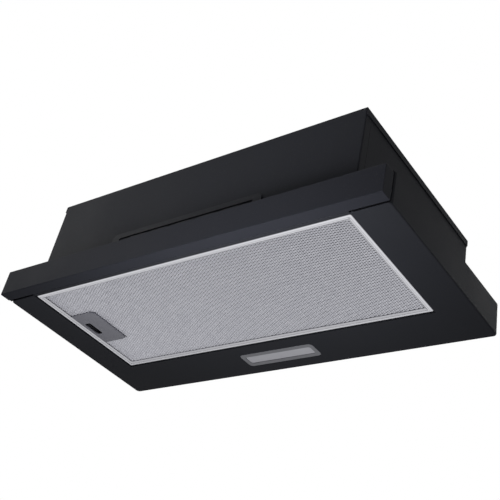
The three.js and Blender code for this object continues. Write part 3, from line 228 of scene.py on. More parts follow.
# %% [markdown]
# ## Finishes
# Each finish is a Principled shader with its own colour, fed by groups that hold what several
# finishes share: the orange peel of powder coat, the fine lines of brushed metal, and light dust.
# A group is built once and placed in each material with its own values.

# %% A helper for shader groups
def start_group(name, inputs, outputs):
    tree = bpy.data.node_groups.new(name, "ShaderNodeTree")
    for socket, kind, value in inputs:
        made = tree.interface.new_socket(socket, in_out="INPUT", socket_type=kind)
        if value is not None:
            made.default_value = value
    for socket, kind in outputs:
        tree.interface.new_socket(socket, in_out="OUTPUT", socket_type=kind)
    return tree, tree.nodes.new("NodeGroupInput"), tree.nodes.new("NodeGroupOutput")


# %% [markdown]
# Powder coat flows out as it bakes and is left with soft dimples, and moulded plastic has them
# too. A fine noise lifts the surface by a bump, which costs no geometry. A second, broad noise
# goes out as a mask for slow changes over the sheet.

# %% Orange peel
def make_orange_peel():
    tree, given, out = start_group(
        "orange_peel",
        [("Scale", "NodeSocketFloat", 900.0), ("Depth", "NodeSocketFloat", 0.1)],
        [("Normal", "NodeSocketVector"), ("Mask", "NodeSocketFloat")],
    )
    place = node(tree, "ShaderNodeTexCoord")
    fine = node(tree, "ShaderNodeTexNoise", in_Detail=2.0, in_Roughness=0.5)
    broad = node(tree, "ShaderNodeTexNoise", in_Scale=14.0, in_Detail=3.0)
    bump = node(tree, "ShaderNodeBump", in_Distance=0.0004)
    tree.links.new(place.outputs["Object"], fine.inputs["Vector"])
    tree.links.new(place.outputs["Object"], broad.inputs["Vector"])
    tree.links.new(given.outputs["Scale"], fine.inputs["Scale"])
    tree.links.new(given.outputs["Depth"], bump.inputs["Strength"])
    tree.links.new(fine.outputs[0], bump.inputs["Height"])
    tree.links.new(bump.outputs["Normal"], out.inputs["Normal"])
    tree.links.new(broad.outputs[0], out.inputs["Mask"])
    return tree


# %% [markdown]
# Rolled and brushed metal has fine lines in one direction. Noise that is stretched along one axis
# gives them, so one group serves all metals with a stretch of their own.

# %% Brushing
def make_brushing():
    tree, given, out = start_group(
        "brushing",
        [
            ("Stretch", "NodeSocketVector", (6.0, 900.0, 900.0)),
            ("Depth", "NodeSocketFloat", 0.15),
        ],
        [("Normal", "NodeSocketVector"), ("Lines", "NodeSocketFloat")],
    )
    place = node(tree, "ShaderNodeTexCoord")
    stretch = node(tree, "ShaderNodeVectorMath", operation="MULTIPLY")
    lines = node(tree, "ShaderNodeTexNoise", in_Scale=1.0, in_Detail=3.0)
    bump = node(tree, "ShaderNodeBump", in_Distance=0.0002)
    tree.links.new(place.outputs["Object"], stretch.inputs[0])
    tree.links.new(given.outputs["Stretch"], stretch.inputs[1])
    tree.links.new(stretch.outputs[0], lines.inputs["Vector"])
    tree.links.new(given.outputs["Depth"], bump.inputs["Strength"])
    tree.links.new(lines.outputs[0], bump.inputs["Height"])
    tree.links.new(bump.outputs["Normal"], out.inputs["Normal"])
    tree.links.new(lines.outputs[0], out.inputs["Lines"])
    return tree


# %% [markdown]
# Dust lies as pale specks that gather in patches. The product of a fine noise, sharpened into
# specks, and a broad one gives a mask for both at once.

# %% Dust
def make_dust():
    tree, given, out = start_group(
        "dust",
        [("Amount", "NodeSocketFloat", 0.3)],
        [("Mask", "NodeSocketFloat")],
    )
    place = node(tree, "ShaderNodeTexCoord")
    specks = node(tree, "ShaderNodeTexNoise", in_Scale=700.0, in_Detail=1.0)
    patches = node(tree, "ShaderNodeTexNoise", in_Scale=9.0, in_Detail=4.0)
    sharpen = node(tree, "ShaderNodeMapRange", in_From_Min=0.62, in_From_Max=0.8)
    both = node(tree, "ShaderNodeMath", operation="MULTIPLY")
    scaled = node(tree, "ShaderNodeMath", operation="MULTIPLY", use_clamp=True)
    for texture in (specks, patches):
        tree.links.new(place.outputs["Object"], texture.inputs["Vector"])
    tree.links.new(specks.outputs[0], sharpen.inputs["Value"])
    tree.links.new(sharpen.outputs[0], both.inputs[0])
    tree.links.new(patches.outputs[0], both.inputs[1])
    tree.links.new(both.outputs[0], scaled.inputs[0])
    tree.links.new(given.outputs["Amount"], scaled.inputs[1])
    tree.links.new(scaled.outputs[0], out.inputs["Mask"])
    return tree


ORANGE_PEEL = make_orange_peel()
BRUSHING = make_brushing()
DUST = make_dust()
print("shader groups:", [g.name for g in bpy.data.node_groups])


# %% [markdown]
# Colours are written as on a paint chart, with two digits each for red, green and blue. Blender
# reckons with amounts of light, so a small function turns one into the other.

# %% Colours
def chart(code):
    def light(value):
        value /= 255
        return value / 12.92 if value <= 0.04045 else ((value + 0.055) / 1.055) ** 2.4

    return (*(light(int(code[i : i + 2], 16)) for i in (0, 2, 4)), 1.0)


print("graphite as light:", [round(value, 4) for value in chart("1f2024")])

# %% [markdown]
# A coat varies a little over the sheet: the broad mask moves its roughness and colour by a few
# percent, and dust lightens it in specks. Both are masks, so the shader keeps its own sockets.
# A Mix node has its number, vector and colour sockets side by side under the same names, so the
# colour ones are named here by their index.

# %% Powder coat and moulded plastic
MIX_A = 6
MIX_B = 7
MIX_RESULT = 2
DUST_COLOUR = "b9b6b0"
COAT_VARIES = 0.14


def coat(name, colour, other, rough, peel=(900.0, 0.1), dust=0.12, level=0.5):
    material, tree, shader = principled(name)
    peel_group = node(tree, "ShaderNodeGroup", node_tree=ORANGE_PEEL)
    peel_group.inputs["Scale"].default_value = peel[0]
    peel_group.inputs["Depth"].default_value = peel[1]
    dust_group = node(tree, "ShaderNodeGroup", node_tree=DUST)
    dust_group.inputs["Amount"].default_value = dust
    shade = node(tree, "ShaderNodeMix", data_type="RGBA")
    shade.inputs[MIX_A].default_value = chart(colour)
    shade.inputs[MIX_B].default_value = chart(other)
    dusted = node(tree, "ShaderNodeMix", data_type="RGBA")
    dusted.inputs[MIX_B].default_value = chart(DUST_COLOUR)
    roughness = node(tree, "ShaderNodeMapRange")
    roughness.inputs["To Min"].default_value = rough * (1 - COAT_VARIES)
    roughness.inputs["To Max"].default_value = min(rough * (1 + COAT_VARIES), 1)
    tree.links.new(peel_group.outputs["Mask"], shade.inputs[0])
    tree.links.new(shade.outputs[MIX_RESULT], dusted.inputs[MIX_A])
    tree.links.new(dust_group.outputs["Mask"], dusted.inputs[0])
    tree.links.new(dusted.outputs[MIX_RESULT], shader.inputs["Base Color"])
    tree.links.new(peel_group.outputs["Mask"], roughness.inputs["Value"])
    tree.links.new(roughness.outputs[0], shader.inputs["Roughness"])
    tree.links.new(peel_group.outputs["Normal"], shader.inputs["Normal"])
    shader.inputs["Specular IOR Level"].default_value = level
    return material


# %% [markdown]
# A metal has no colour of its own under its shine: it mirrors its surroundings and tints them. The
# brushed lines move its tint and its roughness together, as a real scratch does.

# %% Brushed and rolled metal
METAL_VARIES = 0.2


def metal(name, colour, other, rough, stretch=(6.0, 900.0, 900.0), depth=0.15):
    material, tree, shader = principled(name)
    lines = node(tree, "ShaderNodeGroup", node_tree=BRUSHING)
    lines.inputs["Stretch"].default_value = stretch
    lines.inputs["Depth"].default_value = depth
    shade = node(tree, "ShaderNodeMix", data_type="RGBA")
    shade.inputs[MIX_A].default_value = chart(colour)
    shade.inputs[MIX_B].default_value = chart(other)
    roughness = node(tree, "ShaderNodeMapRange")
    roughness.inputs["To Min"].default_value = rough * (1 - METAL_VARIES)
    roughness.inputs["To Max"].default_value = min(rough * (1 + METAL_VARIES), 1)
    tree.links.new(lines.outputs["Lines"], shade.inputs[0])
    tree.links.new(shade.outputs[MIX_RESULT], shader.inputs["Base Color"])
    tree.links.new(lines.outputs["Lines"], roughness.inputs["Value"])
    tree.links.new(roughness.outputs[0], shader.inputs["Roughness"])
    tree.links.new(lines.outputs["Normal"], shader.inputs["Normal"])
    shader.inputs["Metallic"].default_value = 1
    return material


# %% [markdown]
# The hood needs few finishes: one graphite coat for all sheet metal, one for the handle, several
# plastics, and metals for the filters, rails and motor. The coats have almost no gloss, because the
# photographed fronts show no mirror image of the room.

# %% The finishes of this hood
FINISHES = {
    # kind: name, colour, second colour, roughness, then peel, dust and level or stretch and depth
    "paint": coat("graphite_powder_coat", "1f2024", "232428", 0.5, dust=0.03, level=0.02),
    "bar_paint": coat("handle_bar_coat", "1f2025", "232429", 0.55, dust=0.03, level=0.02),
    "fascia": coat("fascia_moulding", "232428", "27282c", 0.48, (1400.0, 0.06), 0.03, 0.03),
    "black": coat("black_moulding", "141516", "191a1b", 0.45, (1100.0, 0.12)),
    # Near-black, painted shade for the slabs in the gap behind the handle.
    "gap_shade": coat("painted_gap_shade_coat", "08080a", "0b0b0d", 0.9, (1800.0, 0.3), 0.0, 0.0),
    "white": coat("white_moulding", "d6d5d0", "cbcac4", 0.5, (1100.0, 0.1)),
    "bezel": coat("lamp_bezel_moulding", "5a5b60", "525358", 0.42, (1500.0, 0.06)),
    "latch": coat("latch_moulding", "62626a", "5b5b63", 0.45, (1300.0, 0.1)),
    "board": coat("circuit_board", "1f5a37", "174a2d", 0.35, (500.0, 0.1)),
    "frame_metal": metal("rolled_aluminium", "e2e2e8", "cecdd4", 0.33),
    "mesh_metal": metal("mesh_aluminium", "dfdfe5", "cdcdd5", 0.36, (120.0, 120.0, 120.0), 0.05),
    "media_metal": metal("layered_mesh_aluminium", "dcdce2", "b4b5bc", 0.5, (420.0, 380.0, 300.0), 0.6),
    "zinc": metal("zinc_plate", "b3b5b8", "94979a", 0.34, (60.0, 60.0, 60.0), 0.08),
    "steel": metal("motor_steel", "8b8e91", "76797c", 0.4, (700.0, 60.0, 60.0), 0.1),
}
print("finishes:", len(FINISHES))

# %% [markdown]
# The lens is a frosted diffuser: it lets some light in, and scatters it. Transmission would make
# it see-through, so it's a pale plastic with a little subsurface scatter and a soft coat.

# %% Lens
LENS_SCATTER = 4 * MM

lens_finish = coat("frosted_lens", "98989e", "8e8e94", 0.34, (1600.0, 0.12), 0.05)
lens_shader = lens_finish.node_tree.nodes["Principled BSDF"]
lens_shader.inputs["Subsurface Weight"].default_value = 0.25
lens_shader.inputs["Subsurface Radius"].default_value = (LENS_SCATTER, LENS_SCATTER, LENS_SCATTER)
lens_shader.inputs["Coat Weight"].default_value = 0.3
FINISHES["lens"] = lens_finish
print("lens finish:", lens_finish.name)

# %% [markdown]
# The filter's frame is rolled from strip, with a sloped outer edge, a groove and a slope down to
# the mesh. They are too fine to model one by one, so their shade is painted: bands of the metal's
# colour are darker at the outer edge, the groove and the inner slope. The group measures how far a
# point lies from the frame's outer edge, and a colour ramp turns that distance into a painted shade,
# which is multiplied into the metal's colour.

# %% Painted shade round the frame
# These values paint the shade of the frame's outer slope, groove and inner slope into its colour.
STRIP_WIDTH = 10 * MM
OUTER_EDGE_PAINTED_SHADE = 0.5
SLOPE_PAINTED_SHADE = 0.66
STRIP_PAINTED_SHADES = (
    # distance from the outer edge, painted shade
    (1.0 * MM, OUTER_EDGE_PAINTED_SHADE),
    (1.4 * MM, 1),
    (3.6 * MM, 1),
    (4.0 * MM, 0.55),
    (4.4 * MM, 1),
    (5.2 * MM, 1),
    (5.8 * MM, 0.6),
)


def make_strip_painted_shade():
    tree, given, out = start_group(
        "strip_painted_shade",
        [("Middle", "NodeSocketVector", None), ("Half Size", "NodeSocketVector", None)],
        [("Shade", "NodeSocketFloat")],
    )
    place = node(tree, "ShaderNodeTexCoord")
    offset = node(tree, "ShaderNodeVectorMath", operation="SUBTRACT")
    size = node(tree, "ShaderNodeVectorMath", operation="ABSOLUTE")
    inward = node(tree, "ShaderNodeVectorMath", operation="SUBTRACT")
    axes = node(tree, "ShaderNodeSeparateXYZ")
    nearest = node(tree, "ShaderNodeMath", operation="MINIMUM")
    share = node(tree, "ShaderNodeMath", operation="MULTIPLY")
    share.inputs[1].default_value = 1 / STRIP_WIDTH
    ramp = node(tree, "ShaderNodeValToRGB")
    stops = ramp.color_ramp.elements
    for distance, grey in STRIP_PAINTED_SHADES:
        stops.new(distance / STRIP_WIDTH).color = (grey, grey, grey, 1)
    stops[0].color = (OUTER_EDGE_PAINTED_SHADE, OUTER_EDGE_PAINTED_SHADE, OUTER_EDGE_PAINTED_SHADE, 1)
    stops[-1].color = (SLOPE_PAINTED_SHADE, SLOPE_PAINTED_SHADE, SLOPE_PAINTED_SHADE, 1)
    tree.links.new(place.outputs["Object"], offset.inputs[0])
    tree.links.new(given.outputs["Middle"], offset.inputs[1])
    tree.links.new(offset.outputs[0], size.inputs[0])
    tree.links.new(given.outputs["Half Size"], inward.inputs[0])
    tree.links.new(size.outputs[0], inward.inputs[1])
    tree.links.new(inward.outputs[0], axes.inputs[0])
    tree.links.new(axes.outputs["X"], nearest.inputs[0])
    tree.links.new(axes.outputs["Y"], nearest.inputs[1])
    tree.links.new(nearest.outputs[0], share.inputs[0])
    tree.links.new(share.outputs[0], ramp.inputs[0])
    tree.links.new(ramp.outputs[0], out.inputs["Shade"])
    return tree


def shade_colour(tree, shade):
    """Multiplies what feeds the Base Color by a grey value."""
    base_colour = tree.nodes["Principled BSDF"].inputs["Base Color"]
    shaded = node(tree, "ShaderNodeMix", data_type="RGBA", blend_type="MULTIPLY")
    shaded.inputs[0].default_value = 1
    tree.links.new(base_colour.links[0].from_socket, shaded.inputs[MIX_A])
    tree.links.new(shade, shaded.inputs[MIX_B])
    tree.links.new(shaded.outputs[MIX_RESULT], base_colour)


def add_strip_painted_shade(material, low, high):
    tree = material.node_tree
    lines = node(tree, "ShaderNodeGroup", node_tree=make_strip_painted_shade())
    lines.inputs["Middle"].default_value = (low + high) / 2
    lines.inputs["Half Size"].default_value = (high - low) / 2
    shade_colour(tree, lines.outputs["Shade"])
    return material


# The frame's finish, with the painted shade bands multiplied into its colour.
painted_shade_strip_finish = metal("filter_frame_aluminium_painted_shade", "eeeef2", "dcdce2", 0.33)
FINISHES["strip_metal_painted_shade"] = add_strip_painted_shade(painted_shade_strip_finish, *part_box("filter_frame"))
print("lines round the frame:", len(STRIP_PAINTED_SHADES))

# %% [markdown]
# The filter's layers are crimped at the same pitch as the mesh on its faces, so soft stripes of
# light and shade run across it. The crimp is not modelled, so the stripes are painted shade: a wave
# texture darkens the colour in bands, on the faces a little and on the layers between them more.
# A wave of scale 1 repeats every pi / 10, which gives the scale for a pitch.

# %% Painted shade of the crimped layers
CELL = Vector((6.0 * MM, 3.73 * MM, 0))


def add_painted_crimp_shade(finish, darkest):
    tree = FINISHES[finish].node_tree
    place = node(tree, "ShaderNodeTexCoord")
    wave = node(tree, "ShaderNodeTexWave", bands_direction="X")
    wave.inputs["Scale"].default_value = math.pi / (10 * CELL.x)
    shade = node(tree, "ShaderNodeMapRange", in_To_Min=darkest)
    tree.links.new(place.outputs["Object"], wave.inputs["Vector"])
    tree.links.new(wave.outputs[1], shade.inputs["Value"])
    shade_colour(tree, shade.outputs[0])


# Painted shade in stripes: a little on the mesh, more on the layers behind it.
add_painted_crimp_shade("mesh_metal", 0.9)
add_painted_crimp_shade("media_metal", 0.3)
print("crimp pitch in mm:", round(CELL.x / MM, 2))

# %% [markdown]
# The solids come without a finish. A table says which finish each one wears, so that it's easy to
# see that none is forgotten. Solids that a finer piece replaces later are dressed here as well.

# %% Give each solid its finish
WEARS = {
    "paint": "base_pan body_wrap front_panel top_cover tray_front tray_side_right "
    "tray_side_left tray_rear",
    "bar_paint": "handle_bar",
    "fascia": "control_fascia key_1 key_2 key_3 key_4 key_5",
    "black": "latch_slider cable_gland blower_housing_right blower_housing_left "
    "outlet_collar flap_rear flap_front",
    "white": "lamp_driver terminal_box terminal_lid capacitor impeller",
    "bezel": "lamp_bezel",
    "lens": "lamp_lens",
    "latch": "latch_housing",
    "board": "lamp_board control_board",
    "strip_metal_painted_shade": "filter_frame",
    "frame_metal": "inner_filter_frame",
    "mesh_metal": "filter_mesh inner_filter_mesh",
    "media_metal": "filter_media filter_backing",
    "zinc": "rail_outer_right rail_outer_left rail_middle_right rail_middle_left rail_inner_right "
    "rail_inner_left filter_pin_front filter_pin_rear latch_spring motor_bracket motor_shaft "
    "flap_bar inner_filter_rail",
    "steel": "motor_body",
}
for finish, names in WEARS.items():
    for name in names.split():
        nodes[name].data.materials.clear()
        nodes[name].data.materials.append(FINISHES[finish])
dressed = sum(len(names.split()) for names in WEARS.values())
print("dressed solids:", dressed, "of", len(nodes))

# %% [markdown]
# ## Tools for new pieces
# Every new piece starts as a primitive in the right place, is shaped in edit mode, and ends with
# its place in its own mesh, so that its patterns stay put. Faces are picked by where they lie.

# %% Picking and placing helpers
def pick(piece, faces=None, corners=None):
    """Selects the faces or vertices that pass a test, with all else deselected."""
    bpy.ops.object.mode_set(mode="OBJECT")
    mesh = piece.data
    for group in (mesh.vertices, mesh.edges, mesh.polygons):
        group.foreach_set("select", [False] * len(group))
    if faces:
        for face in mesh.polygons:
            face.select = faces(face)
    if corners:
        for corner in mesh.vertices:
            corner.select = corners(corner.co)
    bpy.ops.object.mode_set(mode="EDIT")
    bpy.ops.mesh.select_mode(type="FACE" if faces else "VERT")


def settle(piece, name, finish, body):
    """Puts the place into the mesh, then gives the piece its name, finish and body."""
    deselect_all()
    piece.select_set(True)
    bpy.context.view_layer.objects.active = piece
    bpy.ops.object.transform_apply(location=True, rotation=True, scale=True)
    piece.name = name
    piece.data.name = name
    piece.data.materials.clear()
    piece.data.materials.append(FINISHES[finish])
    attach(piece, body)


def use_modifier(piece, kind, **settings):
    modifier = piece.modifiers.new(kind.lower(), kind)
    for key, value in settings.items():
        setattr(modifier, key, value)
    bpy.context.view_layer.objects.active = piece
    bpy.ops.object.modifier_apply(modifier=modifier.name)


def round_edges(piece, width):
    """Bevels the edges that are sharper than a radian."""
    use_modifier(piece, "BEVEL", width=width, segments=2, limit_method="ANGLE", angle_limit=1.0)


# %% [markdown]
# ## Expanded mesh
# The grease filter is faced with expanded aluminium: a sheet is slit and pulled, which leaves
# diamonds with slanted strands. A picture of holes on a flat face would do from afar, but real
# strands catch the light and let the layers behind show through. One ring of strands is a diamond
# with an inset that is pushed in, and the hole is deleted. Two arrays repeat it, and a second
# lattice fills the gaps between the first.

# %% One diamond, repeated
FIRST_STRAND = 0.55 * MM
SECOND_STRAND = 0.72 * MM


def make_lattice(x0, x1, y0, y1, z, sink, shift, strand):
    deselect_all()
    start = Vector((x0, y0, z)) + CELL * (0.5 + shift)
    bpy.ops.mesh.primitive_circle_add(vertices=4, radius=0.5, fill_type="NGON", location=start)
    lattice = bpy.context.object
    bpy.ops.transform.resize(value=(CELL.x, CELL.y, 1))
    bpy.ops.object.transform_apply(location=False, rotation=False, scale=True)
    bpy.ops.object.mode_set(mode="EDIT")
    bpy.ops.mesh.select_all(action="SELECT")
    if sink > 0:
        bpy.ops.mesh.flip_normals()
    bpy.ops.mesh.inset(thickness=strand, depth=-abs(sink))
    bpy.ops.mesh.delete(type="FACE")
    bpy.ops.object.mode_set(mode="OBJECT")
    columns = int((x1 - x0) / CELL.x - shift)
    rows = int((y1 - y0) / CELL.y - shift)
    for count, step in ((columns, (CELL.x, 0, 0)), (rows, (0, CELL.y, 0))):
        use_modifier(
            lattice,
            "ARRAY",
            count=count,
            use_relative_offset=False,
            use_constant_offset=True,
            constant_offset_displace=step,
        )
    return lattice


# %% [markdown]
# The two lattices are joined and the corners where they meet are welded, so that the mesh is one
# sheet. A hole leaves room for the latch plate.

# %% Two lattices make a sheet
def make_weave(name, low, high, z, sink, hole):
    area = (low.x, high.x, low.y, high.y)
    first = make_lattice(*area, z, sink, 0, FIRST_STRAND)
    second = make_lattice(*area, z, sink, 0.5, SECOND_STRAND)
    deselect_all()
    for lattice in (first, second):
        lattice.select_set(True)
    bpy.context.view_layer.objects.active = first
    bpy.ops.object.join()
    bpy.ops.object.transform_apply(location=True, rotation=True, scale=True)
    bpy.ops.object.mode_set(mode="EDIT")
    bpy.ops.mesh.select_all(action="SELECT")
    bpy.ops.mesh.remove_doubles(threshold=0.05 * MM)
    pick(first, corners=lambda p: hole[0] < p.x < hole[1] and hole[2] < p.y < hole[3])
    bpy.ops.mesh.delete(type="VERT")
    bpy.ops.object.mode_set(mode="OBJECT")
    print(name, "faces:", len(first.data.polygons))
    return first


# %% [markdown]
# One sheet faces the cook and one the fan. The strands slant inwards from each face. The sheets
# take the place of two plain solids, whose boxes say where they lie, and run a little way under
# the edges of the latch plate.

# %% The filter's lower and upper faces
WEAVE_INSET = 0.1 * MM
STRAND_SLANT = 0.55 * MM
PLATE_LAP_END = 0.6 * MM
PLATE_LAP_SIDE = 1.2 * MM

mesh_low, mesh_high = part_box("filter_mesh")
latch_low, latch_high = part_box("latch_housing")
latch_hole = (
    latch_low.x - MM,
    latch_high.x - PLATE_LAP_END,
    latch_low.y + PLATE_LAP_SIDE,
    latch_high.y - PLATE_LAP_SIDE,
)
face_z = mesh_low.z + WEAVE_INSET
face_weave = make_weave("filter_face_weave", mesh_low, mesh_high, face_z, STRAND_SLANT, latch_hole)
settle(face_weave, "filter_face_weave", "mesh_metal", "grease_filter")
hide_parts("filter_mesh")

back_low, back_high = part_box("filter_backing")
back_z = back_high.z - WEAVE_INSET
back_weave = make_weave("filter_back_weave", back_low, back_high, back_z, -STRAND_SLANT, latch_hole)
settle(back_weave, "filter_back_weave", "mesh_metal", "grease_filter")
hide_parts("filter_backing")

# %% [markdown]
# ## A bead round the filter's frame
# The frame is rolled from thin strip, and a low bead stiffens it. The bead starts as a flat ring:
# a plate with rounded corners, inset three times and emptied, because a chain of insets keeps every
# loop parallel to the edge. Sinking the two middle loops makes the ridge.

# %% One bead
BEAD_CORNER = 2.5 * MM


def make_bead(low, high, inset, width, height):
    deselect_all()
    middle = (low + high) / 2
    size = high - low
    bpy.ops.mesh.primitive_plane_add(size=1, location=(middle.x, middle.y, low.z))
    bead = bpy.context.object
    bpy.ops.transform.resize(value=(size.x - 2 * inset, size.y - 2 * inset, 1))
    bpy.ops.object.transform_apply(location=True, rotation=False, scale=True)
    bpy.ops.object.mode_set(mode="EDIT")
    bpy.ops.mesh.select_all(action="SELECT")
    bpy.ops.mesh.flip_normals()
    bpy.ops.mesh.bevel(affect="VERTICES", offset=BEAD_CORNER, segments=3, offset_type="OFFSET")
    for _ in range(3):
        bpy.ops.mesh.select_all(action="DESELECT")
        bpy.ops.object.mode_set(mode="OBJECT")
        largest = max(bead.data.polygons, key=lambda face: face.area).index
        pick(bead, faces=lambda face: face.index == largest)
        bpy.ops.mesh.inset(thickness=width / 3)
    bpy.ops.mesh.delete(type="FACE")

    def on_ridge(point):
        depth_x = size.x / 2 - abs(point.x - middle.x)
        depth_y = size.y / 2 - abs(point.y - middle.y)
        along_y = abs(depth_x - inset - width / 2) < width * 0.3
        along_x = abs(depth_y - inset - width / 2) < width * 0.3
        inside = inset + width * 0.2
        return along_y and depth_y > inside or along_x and depth_x > inside

    pick(bead, corners=on_ridge)
    bpy.ops.transform.translate(value=(0, 0, -height))
    bpy.ops.object.mode_set(mode="OBJECT")
    deselect_all()
    bead.select_set(True)
    bpy.ops.object.shade_smooth_by_angle(angle=1.2)
    return bead


# %% The bead on the frame
BEAD_INSET = 4.3 * MM
BEAD_WIDTH = 1.4 * MM
BEAD_HEIGHT = 0.35 * MM

frame_low, frame_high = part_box("filter_frame")
bead = make_bead(frame_low, frame_high, BEAD_INSET, BEAD_WIDTH, BEAD_HEIGHT)
settle(bead, "frame_bead", "strip_metal_painted_shade", "grease_filter")
print("bead faces:", len(bead.data.polygons))

# %% [markdown]
# ## Painted shade in the handle's gap
# Where the handle closes against the wings of the base, the narrow, deep gap between them lies in
# shade. A near-black slab on each wing fills most of the gap and paints that shade in. A slab has
# a shallow recess in its face, made by two insets, and a bevel rounds its edges.

# %% One slab of painted shade on each wing
PAD_WIDTH = 44 * MM
PAD_DEPTH = 2.1 * MM
PAD_RIM = 2.5 * MM
PAD_RECESS = 0.4 * MM
PAD_ROUNDING = 0.35 * MM
PAD_FOOT_GAP = 0.25 * MM
PAD_HEAD_GAP = 1.6 * MM
PAD_END_GAP = 0.4 * MM


def make_shade_slab(low, high):
    deselect_all()
    bpy.ops.mesh.primitive_cube_add(size=1, location=(low + high) / 2)
    shade_slab = bpy.context.object
    bpy.ops.transform.resize(value=high - low)
    bpy.ops.object.transform_apply(location=True, rotation=False, scale=True)
    pick(shade_slab, faces=lambda face: face.normal.y < -0.9)
    bpy.ops.mesh.inset(thickness=PAD_RIM)
    bpy.ops.mesh.inset(thickness=PAD_RECESS)
    bpy.ops.transform.translate(value=(0, PAD_RECESS, 0))
    bpy.ops.object.mode_set(mode="OBJECT")
    round_edges(shade_slab, PAD_ROUNDING)
    deselect_all()
    shade_slab.select_set(True)
    bpy.ops.object.shade_smooth_by_angle(angle=0.6)
    return shade_slab


base_low, base_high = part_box("base_pan")
# Each slab is painted shade in the gap between the handle and a wing.
for side, name in ((1, "gap_shade_slab_right"), (-1, "gap_shade_slab_left")):
    outer = base_high.x - PAD_END_GAP
    ends = sorted((side * outer, side * (outer - PAD_WIDTH)))
    shade_slab = make_shade_slab(
        Vector((ends[0], base_low.y - PAD_DEPTH, base_low.z + PAD_FOOT_GAP)),
        Vector((ends[1], base_low.y, base_high.z - PAD_HEAD_GAP)),
    )
    settle(shade_slab, name, "gap_shade", "housing")
print("pad faces:", len(shade_slab.data.polygons))

# %% [markdown]
# ## The latch's return spring
# Behind the latch plate, a coil spring pushes the slider back. It could be a curve with a bevel,
# but a circle of wire that a Screw modifier sweeps round an axis takes fewer steps. The two open
# ends are filled. The spring stands against the plate's inner wall.

# %% Wind the spring
SPRING_CURLS = 6
SPRING_STEPS = 16
SPRING_WIRE = 0.35 * MM
WIRE_SIDES = 8


def make_spring(low, high):
    deselect_all()
    middle = (low + high) / 2
    coil_radius = (high.z - low.z) / 2 - SPRING_WIRE
    bpy.ops.mesh.primitive_circle_add(
        vertices=WIRE_SIDES,
        radius=SPRING_WIRE,
        location=(coil_radius, 0, 0),
        rotation=(math.pi / 2, 0, 0),
    )
    spring = bpy.context.object
    bpy.ops.object.transform_apply(location=True, rotation=True, scale=True)
    pitch = (high.x - low.x - 2 * SPRING_WIRE) / SPRING_CURLS
    use_modifier(
        spring,
        "SCREW",
        screw_offset=pitch,
        iterations=SPRING_CURLS,
        steps=SPRING_STEPS,
        render_steps=SPRING_STEPS,
    )
    bpy.ops.object.mode_set(mode="EDIT")
    bpy.ops.mesh.select_all(action="SELECT")
    bpy.ops.mesh.fill_holes(sides=WIRE_SIDES)
    bpy.ops.mesh.select_all(action="SELECT")
    bpy.ops.mesh.normals_make_consistent(inside=False)
    bpy.ops.object.mode_set(mode="OBJECT")
    spring.rotation_euler = (0, math.pi / 2, 0)
    spring.location = (low.x + SPRING_WIRE, middle.y, middle.z)
    return spring


spring_low, spring_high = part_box("latch_spring")
spring = make_spring(spring_low, spring_high)
settle(spring, "latch_return_spring", "zinc", "grease_filter")
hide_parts("latch_spring")
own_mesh(spring)

# %% [markdown]
# ## Screws
# Pan head screws hold the cover, the outlet collar and the motor's bracket. A short cylinder is
# the head. Its top face is inset and raised into a low dome, pulling in the corners between four
# arms makes a cross, and pushing the cross down makes the slot for the driver. That needs no
# boolean, which would leave long thin faces. All sizes are shares of the head's own.

# %% One screw
SCREW_SIDES = 24


def make_screw(radius, height):
    rim = radius * 0.3
    dome = height * 0.12
    cross_reach = radius * 0.64
    half_arm = radius * 0.2
    waist = 0.42
    slot_depth = height * 0.5
    deselect_all()
    bpy.ops.mesh.primitive_cylinder_add(
        vertices=SCREW_SIDES, radius=radius, depth=height, location=(0, 0, height / 2)
    )
    screw = bpy.context.object
    bpy.ops.object.transform_apply(location=True, rotation=False, scale=False)
    pick(screw, faces=lambda face: face.normal.z > 0.9)
    bpy.ops.mesh.inset(thickness=rim)
    bpy.ops.transform.translate(value=(0, 0, dome))
    bpy.ops.mesh.inset(thickness=radius * 0.08)

    def between_arms(point):
        on_dome = point.z > height + dome / 2 and point.xy.length < cross_reach
        return on_dome and min(abs(point.x), abs(point.y)) > half_arm

    pick(screw, corners=between_arms)
    bpy.ops.transform.resize(value=(waist, waist, 1), center_override=(0, 0, height))
    bpy.ops.object.mode_set(mode="OBJECT")
    central = [face for face in screw.data.polygons if face.center.xy.length < radius * 0.05]
    cross = max(central, key=lambda face: face.center.z).index
    pick(screw, faces=lambda face: face.index == cross)
    bpy.ops.mesh.extrude_region_move(TRANSFORM_OT_translate={"value": (0, 0, -slot_depth)})
    bpy.ops.object.mode_set(mode="OBJECT")
    round_edges(screw, height * 0.18)
    deselect_all()
    screw.select_set(True)
    bpy.ops.object.shade_smooth_by_angle(angle=0.6)
    return screw


# %% [markdown]
# One screw is copied to each of its places, with a mesh of its own, and turned so that its head
# looks outwards. The copies of a row are joined, as they share a finish and a body.

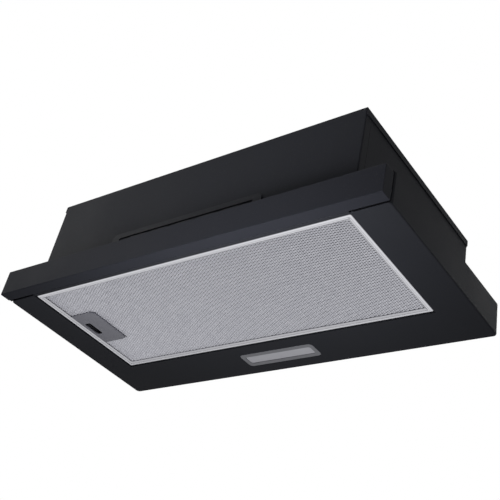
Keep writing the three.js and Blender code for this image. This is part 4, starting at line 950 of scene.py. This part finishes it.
# %% Copies in their places
def place_copies(pattern, name, places, finish, body):
    """Copies a piece modelled on +Z to each place and direction, and joins the copies."""
    copies = []
    for point, out in places:
        copy = pattern.copy()
        copy.data = pattern.data.copy()
        bpy.context.scene.collection.objects.link(copy)
        copy.location = point
        copy.rotation_euler = Vector(out).to_track_quat("Z", "Y").to_euler()
        copies.append(copy)
    deselect_all()
    for copy in copies:
        copy.select_set(True)
    bpy.context.view_layer.objects.active = copies[0]
    bpy.ops.object.join()
    print(name, "copies:", len(copies))
    settle(bpy.context.object, name, finish, body)


# %% [markdown]
# The cover has a row of painted screws along each side. The collar's four and the bracket's three
# stand on circles, so a small function gives the points of a circle.

# %% Screws in the cover
COVER_SCREW_INSET = 6 * MM
COVER_SCREW_ROWS = (-110 * MM, 10 * MM, 130 * MM)

cover_low, cover_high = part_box("top_cover")
screw = make_screw(3.4 * MM, 1.9 * MM)
cover_screws = [
    (Vector((side * (cover_high.x - COVER_SCREW_INSET), y, cover_high.z)), (0, 0, 1))
    for side in (-1, 1)
    for y in COVER_SCREW_ROWS
]
place_copies(screw, "cover_screws", cover_screws, "paint", "housing")

# %% Screws in the collar and the bracket
COLLAR_SCREW_CIRCLE = 64.5 * MM
COLLAR_FLANGE = 2 * MM
BRACKET_SCREW_CIRCLE = 43 * MM


def around(radius, degrees):
    angles = [math.radians(angle) for angle in degrees]
    return [(radius * math.cos(angle), radius * math.sin(angle)) for angle in angles]


small_screw = make_screw(2.6 * MM, 1.6 * MM)
collar_low, collar_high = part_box("outlet_collar")
collar_middle = (collar_low + collar_high) / 2
collar_screws = [
    (Vector((collar_middle.x + dx, collar_middle.y + dy, collar_low.z + COLLAR_FLANGE)), (0, 0, 1))
    for dx, dy in around(COLLAR_SCREW_CIRCLE, (45, 135, 225, 315))
]
place_copies(small_screw, "collar_screws", collar_screws, "zinc", "housing")

bracket_low, bracket_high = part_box("motor_bracket")
bracket_middle = (bracket_low + bracket_high) / 2
bracket_screws = [
    (Vector((bracket_low.x, bracket_middle.y + dy, bracket_middle.z + dz)), (-1, 0, 0))
    for dy, dz in around(BRACKET_SCREW_CIRCLE, (30, 150, 270))
]
place_copies(small_screw, "bracket_screws", bracket_screws, "zinc", "housing")
for pattern in (screw, small_screw):
    bpy.data.objects.remove(pattern)
